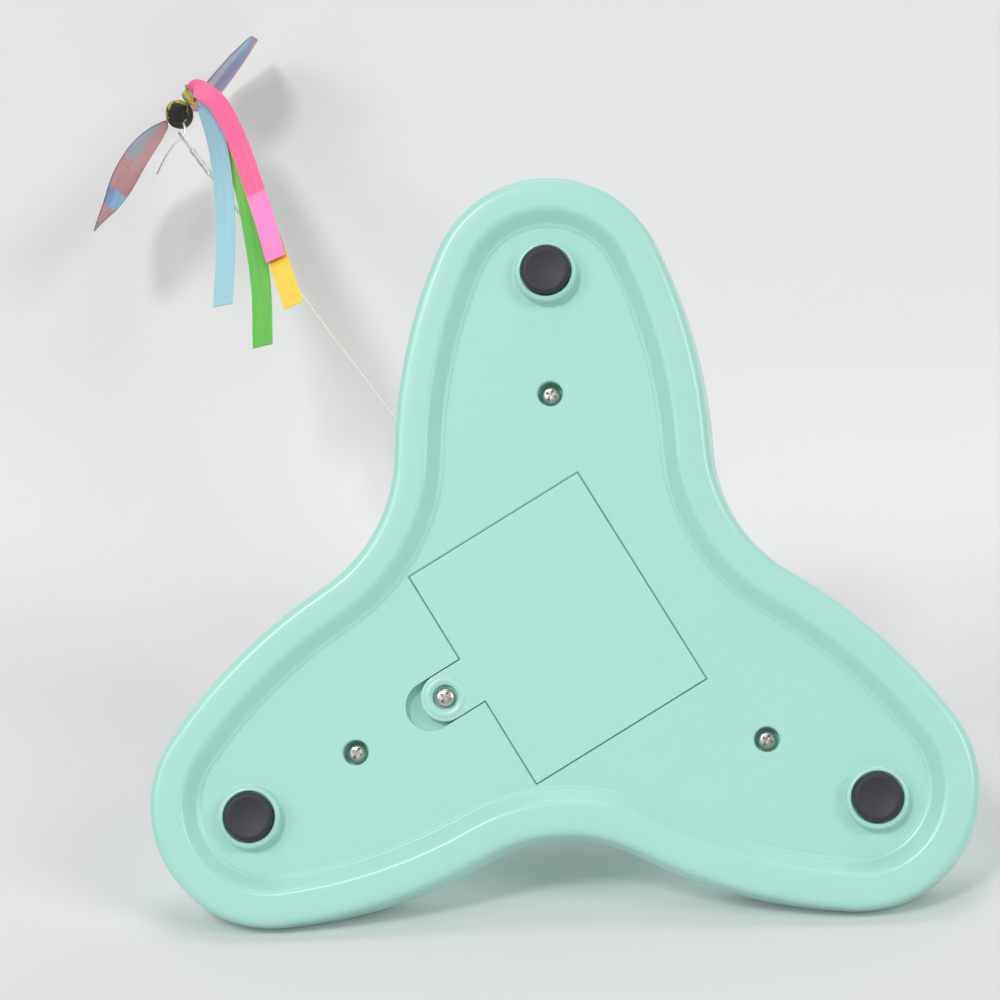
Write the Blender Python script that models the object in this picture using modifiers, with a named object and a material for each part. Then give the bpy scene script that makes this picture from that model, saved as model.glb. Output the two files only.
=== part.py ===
"""Rotating butterfly cat toy, in metres, +Z up, standing on its three rubber feet.

A three-lobed base holds three cells, a flat motor and a spur gear train. The
spindle turns a cap on top of the dome, and a long spring wire on that cap
carries a butterfly with four ribbons. The origin is on the spindle's axis, at
the flat outer face of the base.
"""

import math

import bmesh
import bpy
from mathutils import Matrix, Vector

# General fits and roundness
FIT_GAP = 0.0003
SEAM_GAP = 0.00035
OVERRUN = 0.0010
SINK = 0.0006
MERGE_DISTANCE = 0.00001
ROUND_SIDES = 24
SMALL_SIDES = 16
SCREW_SIDES = 12

# Outline of the base: each lobe is an end arc, a long shoulder arc and a valley arc
LOBE_ANGLES = (math.radians(90), math.radians(210), math.radians(330))
HALF_LOBE_ANGLE = math.radians(60)
LOBE_REACH = 0.1094
VALLEY_REACH = 0.0502
LOBE_END_RADIUS = 0.0295
LOBE_END_SWEEP = math.radians(65.5)
VALLEY_RADIUS = 0.0370
END_STEPS = 5
SHOULDER_STEPS = 3
VALLEY_STEPS = 3

# Base tray, the lower shell
WALL = 0.0020
RIM_DROP = 0.0035
RIM_WIDTH = 0.0082
STEP_WIDTH = 0.0046
STEP_STEPS = 3
STEP_INNER_SHIFT = 0.0008
RIM_EDGE_RADIUS = 0.0022
RIM_EDGE_STEPS = 2
TRAY_DRAFT = 0.0009
CHANNEL_CORNER = 0.0010
PARTING_HEIGHT = 0.0090
LIP_STEP = 0.0012
TONGUE_HEIGHT = 0.0015

# Upper shell, from the parting line over the arms to the dome
SHELL_DRAFT = 0.0003
SHELL_SIDE_TOP = 0.0130
DECK_INSET = 0.0060
DECK_HEIGHT = 0.0180
DECK_EDGE_STEPS = 2
ARM_RISE = 0.0060
ARM_STEPS = 3
DOME_FOOT_RADIUS = 0.0435
DOME_TOP = 0.0520
DOME_STEPS = 4
DOME_SHAPE_POWER = 0.5
TOP_HOLE_RADIUS = 0.0048

# Rubber feet in their cups
FOOT_SETBACK = 0.0239
FOOT_CUP_RADIUS = 0.0074
FOOT_CUP_BASE_RADIUS = 0.0079
FOOT_CUP_DROP = 0.0038
FOOT_SEAT_DEPTH = 0.0014
FOOT_PAD_RADIUS = 0.00605
FOOT_PAD_DROP = 0.0053
FOOT_PAD_EDGE = 0.0009
FOOT_EDGE_STEPS = 3

# Case screws, driven up from the underside
SCREW_RING_SHARE = 0.514
COUNTERBORE_RADIUS = 0.0030
COUNTERBORE_DEPTH = 0.0045
TRAY_BOSS_RADIUS = 0.0045
SHELL_BOSS_RADIUS = 0.0039
SCREW_SHANK_RADIUS = 0.0013
SCREW_HEAD_RADIUS = 0.0023
SCREW_HEAD_HEIGHT = 0.0016
CASE_SCREW_LENGTH = 0.0120
CROSS_LENGTH = 0.0028
CROSS_WIDTH = 0.0006
CROSS_DEPTH = 0.0008

# Battery cover and the tab that its screw holds
COVER_ANGLE = LOBE_ANGLES[2]
COVER_LEDGE = 0.0012
COVER_END_LEDGE = 0.0007
COVER_THICKNESS = 0.0020
TAB_WIDTH = 0.01155
TAB_THICKNESS = 0.0027
TAB_REACH = 0.00775
TAB_COUNTERBORE_DEPTH = 0.0017
FINGER_NOTCH_LENGTH = 0.0040
POCKET_DEPTH = 0.0030
POCKET_WALL = 0.0015
COVER_BOSS_RADIUS = 0.0040
COVER_BOSS_HEIGHT = 0.0082
COVER_SCREW_HEAD_HEIGHT = 0.0013
COVER_SCREW_LENGTH = 0.0043
HOOK_WIDTH = 0.0070
HOOK_SPACING_SHARE = 0.52
HOOK_REACH = 0.0025
HOOK_THICKNESS = 0.0010
HOOK_ROOT_LENGTH = 0.0016
HOOK_SWING_ROOM = 0.0012

# Battery bay and three AA cells side by side
CELLS = 3
CELL_RADIUS = 0.0071
CELL_LENGTH = 0.0502
CELL_GAP = 0.0006
CELL_BUTTON_RADIUS = 0.00275
CELL_BUTTON_HEIGHT = 0.0010
CELL_SHOULDER = 0.0006
BAY_SLACK = 0.0003
BAY_CONTACT_ROOM = 0.0063
BAY_WALL = 0.0015
BAY_HEIGHT = 0.0173
COLLAR_HEIGHT = 0.0040
CONTACT_THICKNESS = 0.0004
CONTACT_HEIGHT = 0.0090
CONTACT_WIDTH = 0.0080
CONTACT_SETBACK = 0.0005
TAIL_WIDTH = 0.0026
TAIL_TOP = 0.0204
SPRING_RADIUS = 0.0030
SPRING_WIRE_RADIUS = 0.00025
SPRING_TURNS = 2.5
SPRING_POINTS_A_TURN = 8

# Gear train: three stages of a small pinion on a large wheel
GEAR_MODULE = 0.0006
PINION_TEETH = 10
WHEEL_TEETH = 36
PRESSURE_ANGLE = math.radians(20)
ADDENDUM_SHARE = 0.85
PINION_ADDENDUM_SHARE = 0.95
DEDENDUM_SHARE = 1.2
TOOTH_THINNING = 0.00012
FLANK_STEPS = 1
SHORT_ROOT = 0.0001
FACE_WIDTH = 0.0025
PLATE_THICKNESS = 0.0015
GEAR_FLOOR = 0.0317
LEVEL_PITCH = 0.0031
FIRST_LEVEL_CLEARANCE = 0.0006
TRAIN_START_ANGLE = math.radians(150)
TRAIN_STEP_ANGLE = math.radians(60)
PIN_RADIUS = 0.0010
HUB_RADIUS = 0.0020
BOX_CLEARANCE = 0.0012
BOX_WALL = 0.0013
EAR_RADIUS = 0.0036
EAR_OFFSET = 0.0022
EAR_SCREW_RADIUS = 0.0011
EAR_SCREW_HEAD_RADIUS = 0.0021
EAR_SCREW_HEAD_HEIGHT = 0.0013
EAR_SCREW_GRIP = 0.0022
HANGING_POST_RADIUS = 0.0028
POST_SINK_SHARE = 0.6

# Flat motor under the gearbox
MOTOR_RADIUS = 0.0120
MOTOR_HEIGHT = 0.0118
MOTOR_EDGE = 0.0008
MOTOR_SHAFT_RADIUS = 0.0010
MOTOR_TAB_WIDTH = 0.0030
MOTOR_TAB_LENGTH = 0.0022
MOTOR_TAB_THICKNESS = 0.0008
MOTOR_TAB_HEIGHT = 0.0025

# Spindle, top bush and rotor cap
SPINDLE_RADIUS = 0.0020
BUSH_FLANGE_RADIUS = 0.0070
BUSH_FLANGE_HEIGHT = 0.0008
BUSH_SLEEVE_DEPTH = 0.0026
CAP_RADIUS = 0.0160
CAP_HEIGHT = 0.0120
CAP_SKIRT = 0.0035
CAP_TOP_RADIUS = 0.0060
CAP_STEPS = 4
CAP_SOCKET_ROOF = 0.0045
CAP_SCREW_HEAD_RADIUS = 0.0026
CAP_SCREW_HEAD_HEIGHT = 0.0014
CAP_SCREW_RADIUS = 0.0010

# Spring wire from the cap to the butterfly
WIRE_AZIMUTH = math.radians(55.3)
WIRE_RADIUS = 0.0004
WIRE_SOCKET_REACH = 0.0090
WIRE_SOCKET_HEIGHT = 0.0615
WIRE_SOCKET_DEPTH = 0.0064
WIRE_ROOT_SLOPE = math.radians(58)
WIRE_TIP_SLOPE = math.radians(33)
WIRE_STRAIGHT_END = 0.0240
WIRE_STRAIGHT_ROOT = 0.0030
WIRE_HANDLE_SHARES = (0.21, 0.47)
PIVOT_REACH = 0.2153
PIVOT_HEIGHT = 0.2355
WIRE_STEPS = 20
LOOP_RADIUS = 0.0017
LOOP_STEPS = 10
LOOP_SWEEP = math.radians(290)
SLEEVE_RADIUS = 0.0010
SLEEVE_BORE_RADIUS = 0.0007
SLEEVE_LENGTH = 0.0138
SLEEVE_SETBACK = 0.0090

# Butterfly, placed from the pivot: outward, sideways and up
BODY_OFFSET = (0.0075, 0.0035, 0.0045)
BODY_RADIUS = 0.0042
BODY_HALF_LENGTH = 0.0085
BODY_SEGMENTS = 14
BODY_RINGS = 8
HOOK_WIRE_RADIUS = 0.00035
HOOK_SOCKET_RADIUS = 0.0009
HOOK_STEPS = 18
WING_THICKNESS = 0.0005
WING_CHORD = 0.0420
LEFT_WING_TIP = (-0.0145, -0.0420, -0.0068)
RIGHT_WING_TIP = (0.0088, 0.0345, 0.0230)
LEFT_WING_CHORD_WAY = (0.057, 0.010, 0.990)
RIGHT_WING_CHORD_WAY = (0.120, 0.010, 0.990)
WING_ROOT_GAP = 0.0010
KNOT_OFFSET = (0.0014, 0.0054, -0.0040)
KNOT_SIZE = (0.0050, 0.0028, 0.0050)
KNOT_EDGE = 0.0008
RIBBON_WIDTH = 0.0060
RIBBON_REACH = 0.1000
RIBBON_THICKNESS = 0.0005
RIBBON_ROOT = (-0.0014, 0.0014)
RIBBON_START_GAP = 0.0015
RIBBON_DROOP_SHARE = 0.95
RIBBON_DROOP_BEND = 0.0120
RIBBON_STEPS = 14
RIBBON_STACK_PITCH = 0.0010
RIBBON_GATHER_SHARES = (0.4, 0.5, 0.6)

# Slide switch on the arm over the second lobe
SWITCH_ANGLE = LOBE_ANGLES[1]
SWITCH_REACH_SHARE = 0.64
SWITCH_TRAVEL = 0.0030
KNOB_WIDTH = 0.0038
KNOB_LENGTH = 0.0040
KNOB_RISE = 0.0021
FLANGE_WIDTH = 0.0080
FLANGE_LENGTH = 0.0112
FLANGE_HEIGHT = 0.0012
FLANGE_CLEARANCE = 0.00045
SWITCH_BODY_WIDTH = 0.0060
SWITCH_BODY_LENGTH = 0.0120
SWITCH_BODY_HEIGHT = 0.0040
BOARD_WIDTH = 0.0140
BOARD_LENGTH = 0.0260
BOARD_THICKNESS = 0.0016
BOARD_SCREW_SPACING = 0.0200
BOARD_POST_RADIUS = 0.0025
BOARD_SCREW_HEAD_RADIUS = 0.0018
BOARD_SCREW_HEAD_HEIGHT = 0.0012
BOARD_SCREW_LENGTH = 0.0060

# Insulated leads inside the case
LEAD_RADIUS = 0.0006
LEAD_SPAN_STEPS = 2
LEAD_BEND = 0.0022
LEAD_PASS_REACH = 0.0480
LEAD_PASS_ASIDE = 0.0068
LEAD_PASS_HEIGHT = 0.0170
LEAD_BAY_REACH = 0.0380
LEAD_BAY_HEIGHT = 0.0212
LEAD_ARCH = 0.0012
LEAD_MIDDLE_SHARES = (0.22, 0.50, 0.78)
PAD_ASIDE = 0.0090

# Sizes and levels that follow from the ones above
FOOT_RING_RADIUS = LOBE_REACH - FOOT_SETBACK
SCREW_RING_RADIUS = SCREW_RING_SHARE * LOBE_REACH
SWITCH_REACH = SWITCH_REACH_SHARE * LOBE_REACH
CELL_PITCH = CELL_RADIUS + CELL_RADIUS + CELL_GAP
BAY_WIDTH = CELL_PITCH * CELLS + BAY_SLACK
BAY_LENGTH = CELL_LENGTH + BAY_CONTACT_ROOM
COVER_WIDTH = BAY_WIDTH + COVER_LEDGE + COVER_LEDGE
COVER_LENGTH = BAY_LENGTH + COVER_END_LEDGE + COVER_END_LEDGE
TAB_SCREW_REACH = COVER_WIDTH / 2 + TAB_REACH
HOOK_SPACING = HOOK_SPACING_SHARE * COVER_LENGTH
SHELL_LIP_HEIGHT = PARTING_HEIGHT + FIT_GAP
DOME_FOOT_HEIGHT = DECK_HEIGHT + ARM_RISE
BAY_TOP = BAY_HEIGHT + BAY_WALL
GEAR_CENTRES = GEAR_MODULE * (PINION_TEETH + WHEEL_TEETH) / 2
WHEEL_TIP_RADIUS = GEAR_MODULE * (WHEEL_TEETH / 2 + ADDENDUM_SHARE)
PLATE_TOP = GEAR_FLOOR + PLATE_THICKNESS
LEVEL_LOWS = tuple(PLATE_TOP + FIRST_LEVEL_CLEARANCE + LEVEL_PITCH * level for level in range(3))
GEAR_COVER_LOW = LEVEL_LOWS[2] + FACE_WIDTH + FIT_GAP + FIT_GAP
GEAR_COVER_TOP = GEAR_COVER_LOW + PLATE_THICKNESS
MOTOR_TOP = GEAR_FLOOR - FIT_GAP
MOTOR_LOW = MOTOR_TOP - MOTOR_HEIGHT
CAP_LOW = DOME_TOP + FIT_GAP + BUSH_FLANGE_HEIGHT + FIT_GAP
CAP_TOP = CAP_LOW + CAP_HEIGHT
BODY_CENTRE = Vector(BODY_OFFSET)

# Routes chosen by hand, outward, sideways and up from the pivot, in metres
HOOK_ROUTE = (
    (0.0067, 0.0033, 0.0021), (0.0046, 0.0030, 0.0012), (0.0024, 0.0026, 0.0003),
    (0.0006, 0.0014, 0.0), (0.0, 0.0, 0.0), (0.0, -0.0014, 0.0),
    (-0.0006, -0.0040, 0.0003), (-0.0018, -0.0080, 0.0014), (-0.0040, -0.0128, 0.0030),
)

# Ribbons from the top of the stack: name, colour, route outward and sideways as shares of the reach
RIBBONS = (
    ("ribbon_green", (0.14, 0.60, 0.10),
     ((-0.080, -0.005), (-0.205, -0.016), (-0.358, -0.049), (-0.541, -0.113), (-0.744, -0.197),
      (-0.925, -0.294))),
    ("ribbon_yellow", (0.93, 0.58, 0.08),
     ((-0.068, 0.019), (-0.166, 0.012), (-0.305, -0.009), (-0.480, -0.054), (-0.681, -0.105),
      (-0.875, -0.154))),
    ("ribbon_blue", (0.33, 0.60, 0.68),
     ((-0.087, -0.010), (-0.188, -0.041), (-0.320, -0.094), (-0.454, -0.159), (-0.593, -0.237),
      (-0.722, -0.318))),
    ("ribbon_pink", (0.90, 0.12, 0.34),
     ((-0.055, 0.027), (-0.120, 0.028), (-0.253, 0.006), (-0.389, -0.028), (-0.526, -0.063),
      (-0.701, -0.115))),
)

# Wing outline: shares of the span from root to tip, and of the chord from the middle line
WING_OUTLINE_SHARES = (
    (0.00, 0.06), (0.14, 0.22), (0.30, 0.36), (0.48, 0.44), (0.66, 0.42), (0.82, 0.30),
    (0.93, 0.14), (1.00, -0.03), (0.92, -0.16), (0.82, -0.30), (0.71, -0.38), (0.58, -0.36),
    (0.52, -0.47), (0.42, -0.52), (0.30, -0.46), (0.18, -0.33), (0.08, -0.18), (0.00, -0.06),
)

# Colours as linear values, with roughness and metallic shares
MINT = ("mint_plastic", (0.42, 0.76, 0.66), 0.38, 0.0)
RUBBER = ("dark_rubber", (0.035, 0.035, 0.040), 0.70, 0.0)
SCREW_STEEL = ("screw_steel", (0.62, 0.60, 0.58), 0.30, 1.0)
WIRE_STEEL = ("spring_wire_steel", (0.66, 0.66, 0.67), 0.28, 1.0)
CELL_JACKET = ("cell_jacket", (0.06, 0.10, 0.22), 0.35, 0.3)
CONTACT_METAL = ("nickel_contact", (0.70, 0.67, 0.60), 0.30, 1.0)
GEAR_NYLON = ("natural_nylon", (0.82, 0.80, 0.74), 0.45, 0.0)
BOX_PLASTIC = ("gearbox_plastic", (0.75, 0.76, 0.76), 0.45, 0.0)
MOTOR_STEEL = ("motor_can_steel", (0.55, 0.55, 0.56), 0.35, 1.0)
BOARD_GREEN = ("board_laminate", (0.05, 0.25, 0.10), 0.45, 0.0)
SWITCH_BLACK = ("switch_plastic", (0.04, 0.04, 0.045), 0.50, 0.0)
KNOB_WHITE = ("white_plastic", (0.80, 0.81, 0.80), 0.40, 0.0)
LEAD_RED = ("red_lead", (0.60, 0.04, 0.03), 0.45, 0.0)
LEAD_BLACK = ("black_lead", (0.03, 0.03, 0.03), 0.45, 0.0)
BODY_BLACK = ("butterfly_body_black", (0.02, 0.02, 0.02), 0.70, 0.0)
WING_PRINT = ("wing_film", (0.45, 0.30, 0.42), 0.40, 0.0)
KNOT_GREEN = ("knot_cord", (0.35, 0.50, 0.10), 0.60, 0.0)


# Scene, materials and small helpers

def start_scene(name):
    """Empty the scene and make one collection for the parts and one for the tools."""
    for item in list(bpy.data.objects):
        bpy.data.objects.remove(item, do_unlink=True)
    made = []
    for title in (name, name + "_cutters"):
        collection = bpy.data.collections.new(title)
        bpy.context.scene.collection.children.link(collection)
        made.append(collection)
    return made


PARTS, CUTTERS = start_scene("rotating_butterfly_cat_toy")


def material(look):
    """Return the Principled material for one of the looks named above."""
    name, colour, roughness, metallic = look
    if name in bpy.data.materials:
        return bpy.data.materials[name]
    made = bpy.data.materials.new(name)
    made.use_nodes = True
    shader = made.node_tree.nodes["Principled BSDF"]
    shader.inputs["Base Color"].default_value = (*colour, 1.0)
    shader.inputs["Roughness"].default_value = roughness
    shader.inputs["Metallic"].default_value = metallic
    return made


def add_part(name, data, look, parent=None, at=(0.0, 0.0, 0.0), turn=(0.0, 0.0, 0.0)):
    """Put a mesh or curve in the parts collection under its node name."""
    part = bpy.data.objects.new(name, data)
    PARTS.objects.link(part)
    part.location = at
    part.rotation_euler = turn
    part.parent = parent
    data.materials.append(material(look))
    if isinstance(data, bpy.types.Mesh) and data.polygons:
        data.shade_smooth()
        data.set_sharp_from_angle(angle=math.radians(35))
    return part


def add_tool(name, data):
    """Put a mesh in the cutters collection, hidden and drawn as wire."""
    tool = bpy.data.objects.new(name, data)
    CUTTERS.objects.link(tool)
    tool.hide_render = True
    tool.display_type = "WIRE"
    return tool


def add_empty(name, at, turn=0.0, parent=None):
    """An empty on a joint's axis, turned about Z."""
    empty = bpy.data.objects.new(name, None)
    PARTS.objects.link(empty)
    empty.location = at
    empty.rotation_euler = (0.0, 0.0, turn)
    empty.parent = parent
    return empty


def mesh_from(name, fill, *args):
    """Run a function that fills a bmesh, and return the closed mesh it makes."""
    shape = bmesh.new()
    fill(shape, *args)
    bmesh.ops.recalc_face_normals(shape, faces=shape.faces[:])
    mesh = bpy.data.meshes.new(name)
    shape.to_mesh(mesh)
    shape.free()
    return mesh


def boolean(target, operation, fill, *args):
    """Join or cut a part with a tool that a fill function makes."""
    name = f"{target.name}_{operation.lower()}_{len(target.modifiers)}"
    tool = add_tool(name, mesh_from(name, fill, *args))
    tool.parent = target.parent
    tool.location = target.location
    tool.rotation_euler = target.rotation_euler
    modifier = target.modifiers.new(name, "BOOLEAN")
    modifier.operation = operation
    modifier.object = tool
    modifier.solver = "EXACT"
    return tool


def join(target, fill, *args):
    return boolean(target, "UNION", fill, *args)


def cut(target, fill, *args):
    return boolean(target, "DIFFERENCE", fill, *args)


def box_into(shape, size, centre, turn=0.0):
    """A box of a size, turned about its own Z and moved to its centre."""
    corners = bmesh.ops.create_cube(shape, size=1.0)["verts"]
    bmesh.ops.scale(shape, vec=size, verts=corners)
    bmesh.ops.rotate(shape, cent=(0.0, 0.0, 0.0), matrix=Matrix.Rotation(turn, 3, "Z"), verts=corners)
    bmesh.ops.translate(shape, vec=centre, verts=corners)


def span_box_into(shape, low, high):
    """A box between two opposite corners."""
    size = [b - a for a, b in zip(low, high)]
    centre = [(a + b) / 2 for a, b in zip(low, high)]
    box_into(shape, size, centre)


def cone_into(shape, low_radius, high_radius, low, high, centre=(0.0, 0.0), sides=SMALL_SIDES):
    """A cone or cylinder between two heights."""
    ring = bmesh.ops.create_cone(
        shape, cap_ends=True, cap_tris=False, segments=sides,
        radius1=low_radius, radius2=high_radius, depth=high - low)["verts"]
    bmesh.ops.translate(shape, vec=(centre[0], centre[1], (low + high) / 2), verts=ring)


def rod_into(shape, radius, start, end, sides=SMALL_SIDES):
    """A cylinder from one point to another."""
    start, end = Vector(start), Vector(end)
    along = end - start
    ring = bmesh.ops.create_cone(
        shape, cap_ends=True, cap_tris=False, segments=sides,
        radius1=radius, radius2=radius, depth=along.length)["verts"]
    turn = along.to_track_quat("Z", "Y").to_matrix()
    bmesh.ops.rotate(shape, cent=(0.0, 0.0, 0.0), matrix=turn, verts=ring)
    bmesh.ops.translate(shape, vec=(start + end) / 2, verts=ring)


def cones_into(shape, centres, low_radius, high_radius, low, high, sides=SMALL_SIDES):
    """The same cone or cylinder at several places."""
    for centre in centres:
        cone_into(shape, low_radius, high_radius, low, high, centre, sides)


def polar(radius, angle):
    return Vector((radius * math.cos(angle), radius * math.sin(angle)))


def turned_part(name, profile, look, steps=ROUND_SIDES, closed=False, **place):
    """A turned solid: the profile runs down its outer side, from top to bottom."""
    mesh = bpy.data.meshes.new(name)
    points = [(radius, 0.0, height) for radius, height in profile]
    edges = [(k, k + 1) for k in range(len(points) - 1)]
    if closed:
        edges.append((len(points) - 1, 0))
    mesh.from_pydata(points, edges, [])
    part = add_part(name, mesh, look, **place)
    screw = part.modifiers.new("turn", "SCREW")
    screw.steps = steps
    screw.render_steps = steps
    screw.use_merge_vertices = True
    screw.merge_threshold = MERGE_DISTANCE
    return part


def tube_part(name, points, radius, look, resolution=2, **place):
    """A round wire or lead along a list of points, with filled ends."""
    curve = bpy.data.curves.new(name, "CURVE")
    curve.dimensions = "3D"
    curve.bevel_depth = radius
    curve.bevel_resolution = resolution
    curve.use_fill_caps = True
    spline = curve.splines.new("POLY")
    spline.points.add(len(points) - 1)
    for knot, point in zip(spline.points, points):
        knot.co = (*point, 1.0)
    return add_part(name, curve, look, **place)


def smooth_route(route, steps):
    """Points along one smooth curve through the route's own points."""
    route = [Vector(point) for point in route]
    padded = [2 * route[0] - route[1], *route, 2 * route[-1] - route[-2]]
    spans = len(route) - 1
    points = []
    for k in range(steps + 1):
        place = spans * k / steps
        span = min(int(place), spans - 1)
        a, b, c, d = padded[span:span + 4]
        t = place - span
        points.append(0.5 * (2 * b + (c - a) * t + (2 * a - 5 * b + 4 * c - d) * t ** 2
                             + (3 * b - a - 3 * c + d) * t ** 3))
    return points


def flat_mesh(name, outlines, low, high):
    """A flat outline with holes, filled and given its thickness."""
    curve = bpy.data.curves.new(name, "CURVE")
    curve.dimensions = "2D"
    curve.fill_mode = "BOTH"
    curve.extrude = (high - low) / 2
    for outline in outlines:
        spline = curve.splines.new("POLY")
        spline.points.add(len(outline) - 1)
        for knot, (x, y) in zip(spline.points, outline):
            knot.co = (x, y, 0.0, 1.0)
        spline.use_cyclic_u = True
    guide = add_tool(name + "_outline", curve)
    guide.location.z = (low + high) / 2
    bpy.context.view_layer.update()
    seen = guide.evaluated_get(bpy.context.evaluated_depsgraph_get())
    mesh = bpy.data.meshes.new_from_object(seen)
    mesh.transform(guide.matrix_world)
    bpy.data.objects.remove(guide, do_unlink=True)
    shape = bmesh.new()
    shape.from_mesh(mesh)
    bmesh.ops.remove_doubles(shape, verts=shape.verts[:], dist=MERGE_DISTANCE)
    bmesh.ops.recalc_face_normals(shape, faces=shape.faces[:])
    shape.to_mesh(mesh)
    shape.free()
    return mesh


def flat_into(shape, outlines, low, high):
    """A flat outline with its thickness, put into a tool's mesh."""
    mesh = flat_mesh("flat_tool", outlines, low, high)
    shape.from_mesh(mesh)
    bpy.data.meshes.remove(mesh)


# Outline of the base

def outline_arcs():
    """Centres and radii of the three arcs of half a lobe, with the lobe along +X."""
    end_centre = Vector((LOBE_REACH - LOBE_END_RADIUS, 0.0))
    valley_centre = polar(VALLEY_REACH + VALLEY_RADIUS, HALF_LOBE_ANGLE)
    leaving = polar(1.0, LOBE_END_SWEEP)
    joint = end_centre + LOBE_END_RADIUS * leaving
    apart = joint - valley_centre
    shoulder_radius = (apart.length_squared - VALLEY_RADIUS ** 2) / (
        2 * (VALLEY_RADIUS + apart.dot(leaving)))
    shoulder_centre = joint - shoulder_radius * leaving
    towards = valley_centre - shoulder_centre
    meeting_angle = math.atan2(towards.y, towards.x)
    return end_centre, shoulder_centre, shoulder_radius, valley_centre, meeting_angle


def half_lobe(inset):
    """Points from the lobe's tip to the valley, set in from the outline."""
    end_centre, shoulder_centre, shoulder_radius, valley_centre, meeting = outline_arcs()
    points = []
    for k in range(END_STEPS):
        points.append(end_centre + polar(LOBE_END_RADIUS - inset, LOBE_END_SWEEP * k / END_STEPS))
    for k in range(SHOULDER_STEPS):
        angle = LOBE_END_SWEEP + (meeting - LOBE_END_SWEEP) * k / SHOULDER_STEPS
        points.append(shoulder_centre + polar(shoulder_radius - inset, angle))
    for k in range(VALLEY_STEPS + 1):
        angle = meeting + (HALF_LOBE_ANGLE - meeting) * k / VALLEY_STEPS
        points.append(valley_centre - polar(VALLEY_RADIUS + inset, angle))
    return points


def lobed_outline(inset):
    """The whole outline, counter-clockwise, set in from the edge."""
    half = half_lobe(inset)
    mirrored = [Vector((point.x, -point.y)) for point in half[:0:-1]]
    points = []
    for angle in LOBE_ANGLES:
        turn = Matrix.Rotation(angle, 2)
        points.extend(turn @ point for point in mirrored[1:] + half)
    return points


def lobed_ring(inset, height):
    return [Vector((point.x, point.y, height)) for point in lobed_outline(inset)]


def arm_ring(inset, circle_radius, share, height):
    """A ring part of the way from the lobed outline to the dome's circle."""
    ring = []
    for point in lobed_outline(inset):
        blended = point.lerp(circle_radius * point.normalized(), share)
        ring.append(Vector((blended.x, blended.y, height)))
    return ring


def round_ring(radius, height):
    return arm_ring(0.0, radius, 1.0, height)


def skin_into(shape, rings, capped):
    """Faces between rings of points, with flat end caps or closed into a loop."""
    loops = [[shape.verts.new(point) for point in ring] for ring in rings]
    pairs = list(zip(loops, loops[1:]))
    if capped:
        shape.faces.new(loops[0])
        shape.faces.new(loops[-1])
    else:
        pairs.append((loops[-1], loops[0]))
    for lower, upper in pairs:
        for k in range(len(lower)):
            following = (k + 1) % len(lower)
            shape.faces.new((lower[k], lower[following], upper[following], upper[k]))


# Base tray

def step_stations(shift, lift):
    """Inset and height down the rounded step from the flat panel to the rim."""
    stations = []
    for k in range(STEP_STEPS + 1):
        share = k / STEP_STEPS
        drop = RIM_DROP * (1 - math.cos(math.pi * share)) / 2
        stations.append((RIM_WIDTH + STEP_WIDTH * (1 - share) - shift, lift - drop))
    return stations


def tray_rings():
    """From the flat panel out over the rim, up the wall, and back inside."""
    rim_low = -RIM_DROP
    edge_inset = TRAY_DRAFT + RIM_EDGE_RADIUS
    stations = step_stations(0.0, 0.0)
    for k in range(RIM_EDGE_STEPS + 1):
        angle = math.pi / 2 * k / RIM_EDGE_STEPS
        stations.append((edge_inset - RIM_EDGE_RADIUS * math.sin(angle),
                         rim_low + RIM_EDGE_RADIUS * (1 - math.cos(angle))))
    tongue_top = PARTING_HEIGHT + TONGUE_HEIGHT
    stations += [(0.0, PARTING_HEIGHT), (LIP_STEP, PARTING_HEIGHT), (LIP_STEP, tongue_top), (WALL, tongue_top)]
    wall_inset = WALL + TRAY_DRAFT
    stations += [(wall_inset, rim_low + WALL + CHANNEL_CORNER), (wall_inset + CHANNEL_CORNER, rim_low + WALL)]
    stations += reversed(step_stations(STEP_INNER_SHIFT, WALL))
    return [lobed_ring(inset, height) for inset, height in stations]


def foot_places():
    return [polar(FOOT_RING_RADIUS, angle) for angle in LOBE_ANGLES]


def screw_places():
    return [polar(SCREW_RING_RADIUS, angle) for angle in LOBE_ANGLES]


def cover_point(along, across):
    """A place in the battery cover's own directions: towards the tab, and across it."""
    turned = Matrix.Rotation(COVER_ANGLE, 2) @ Vector((along, across))
    return turned


def cover_box_into(shape, low, high):
    """A box between two corners given in the battery cover's own directions."""
    size = [b - a for a, b in zip(low, high)]
    middle = cover_point((low[0] + high[0]) / 2, (low[1] + high[1]) / 2)
    box_into(shape, size, (middle.x, middle.y, (low[2] + high[2]) / 2), COVER_ANGLE)


def tab_shape_into(shape, half_width, reach, start, low, high):
    """A straight tab with a round end, in the cover's directions."""
    cover_box_into(shape, (start, -half_width, low), (reach, half_width, high))
    cone_into(shape, half_width, half_width, low, high, cover_point(reach, 0.0), ROUND_SIDES)


def tab_outline(half_width, reach, start):
    """The tab's outline in the cover's own directions, with its round end as an arc."""
    points = [Vector((start, -half_width))]
    for k in range(SMALL_SIDES + 1):
        points.append(Vector((reach, 0.0)) + polar(half_width, math.pi * (k / SMALL_SIDES - 0.5)))
    points.append(Vector((start, half_width)))
    return points


def turned_outline(points, angle):
    turn = Matrix.Rotation(angle, 2)
    return [turn @ point for point in points]


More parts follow.
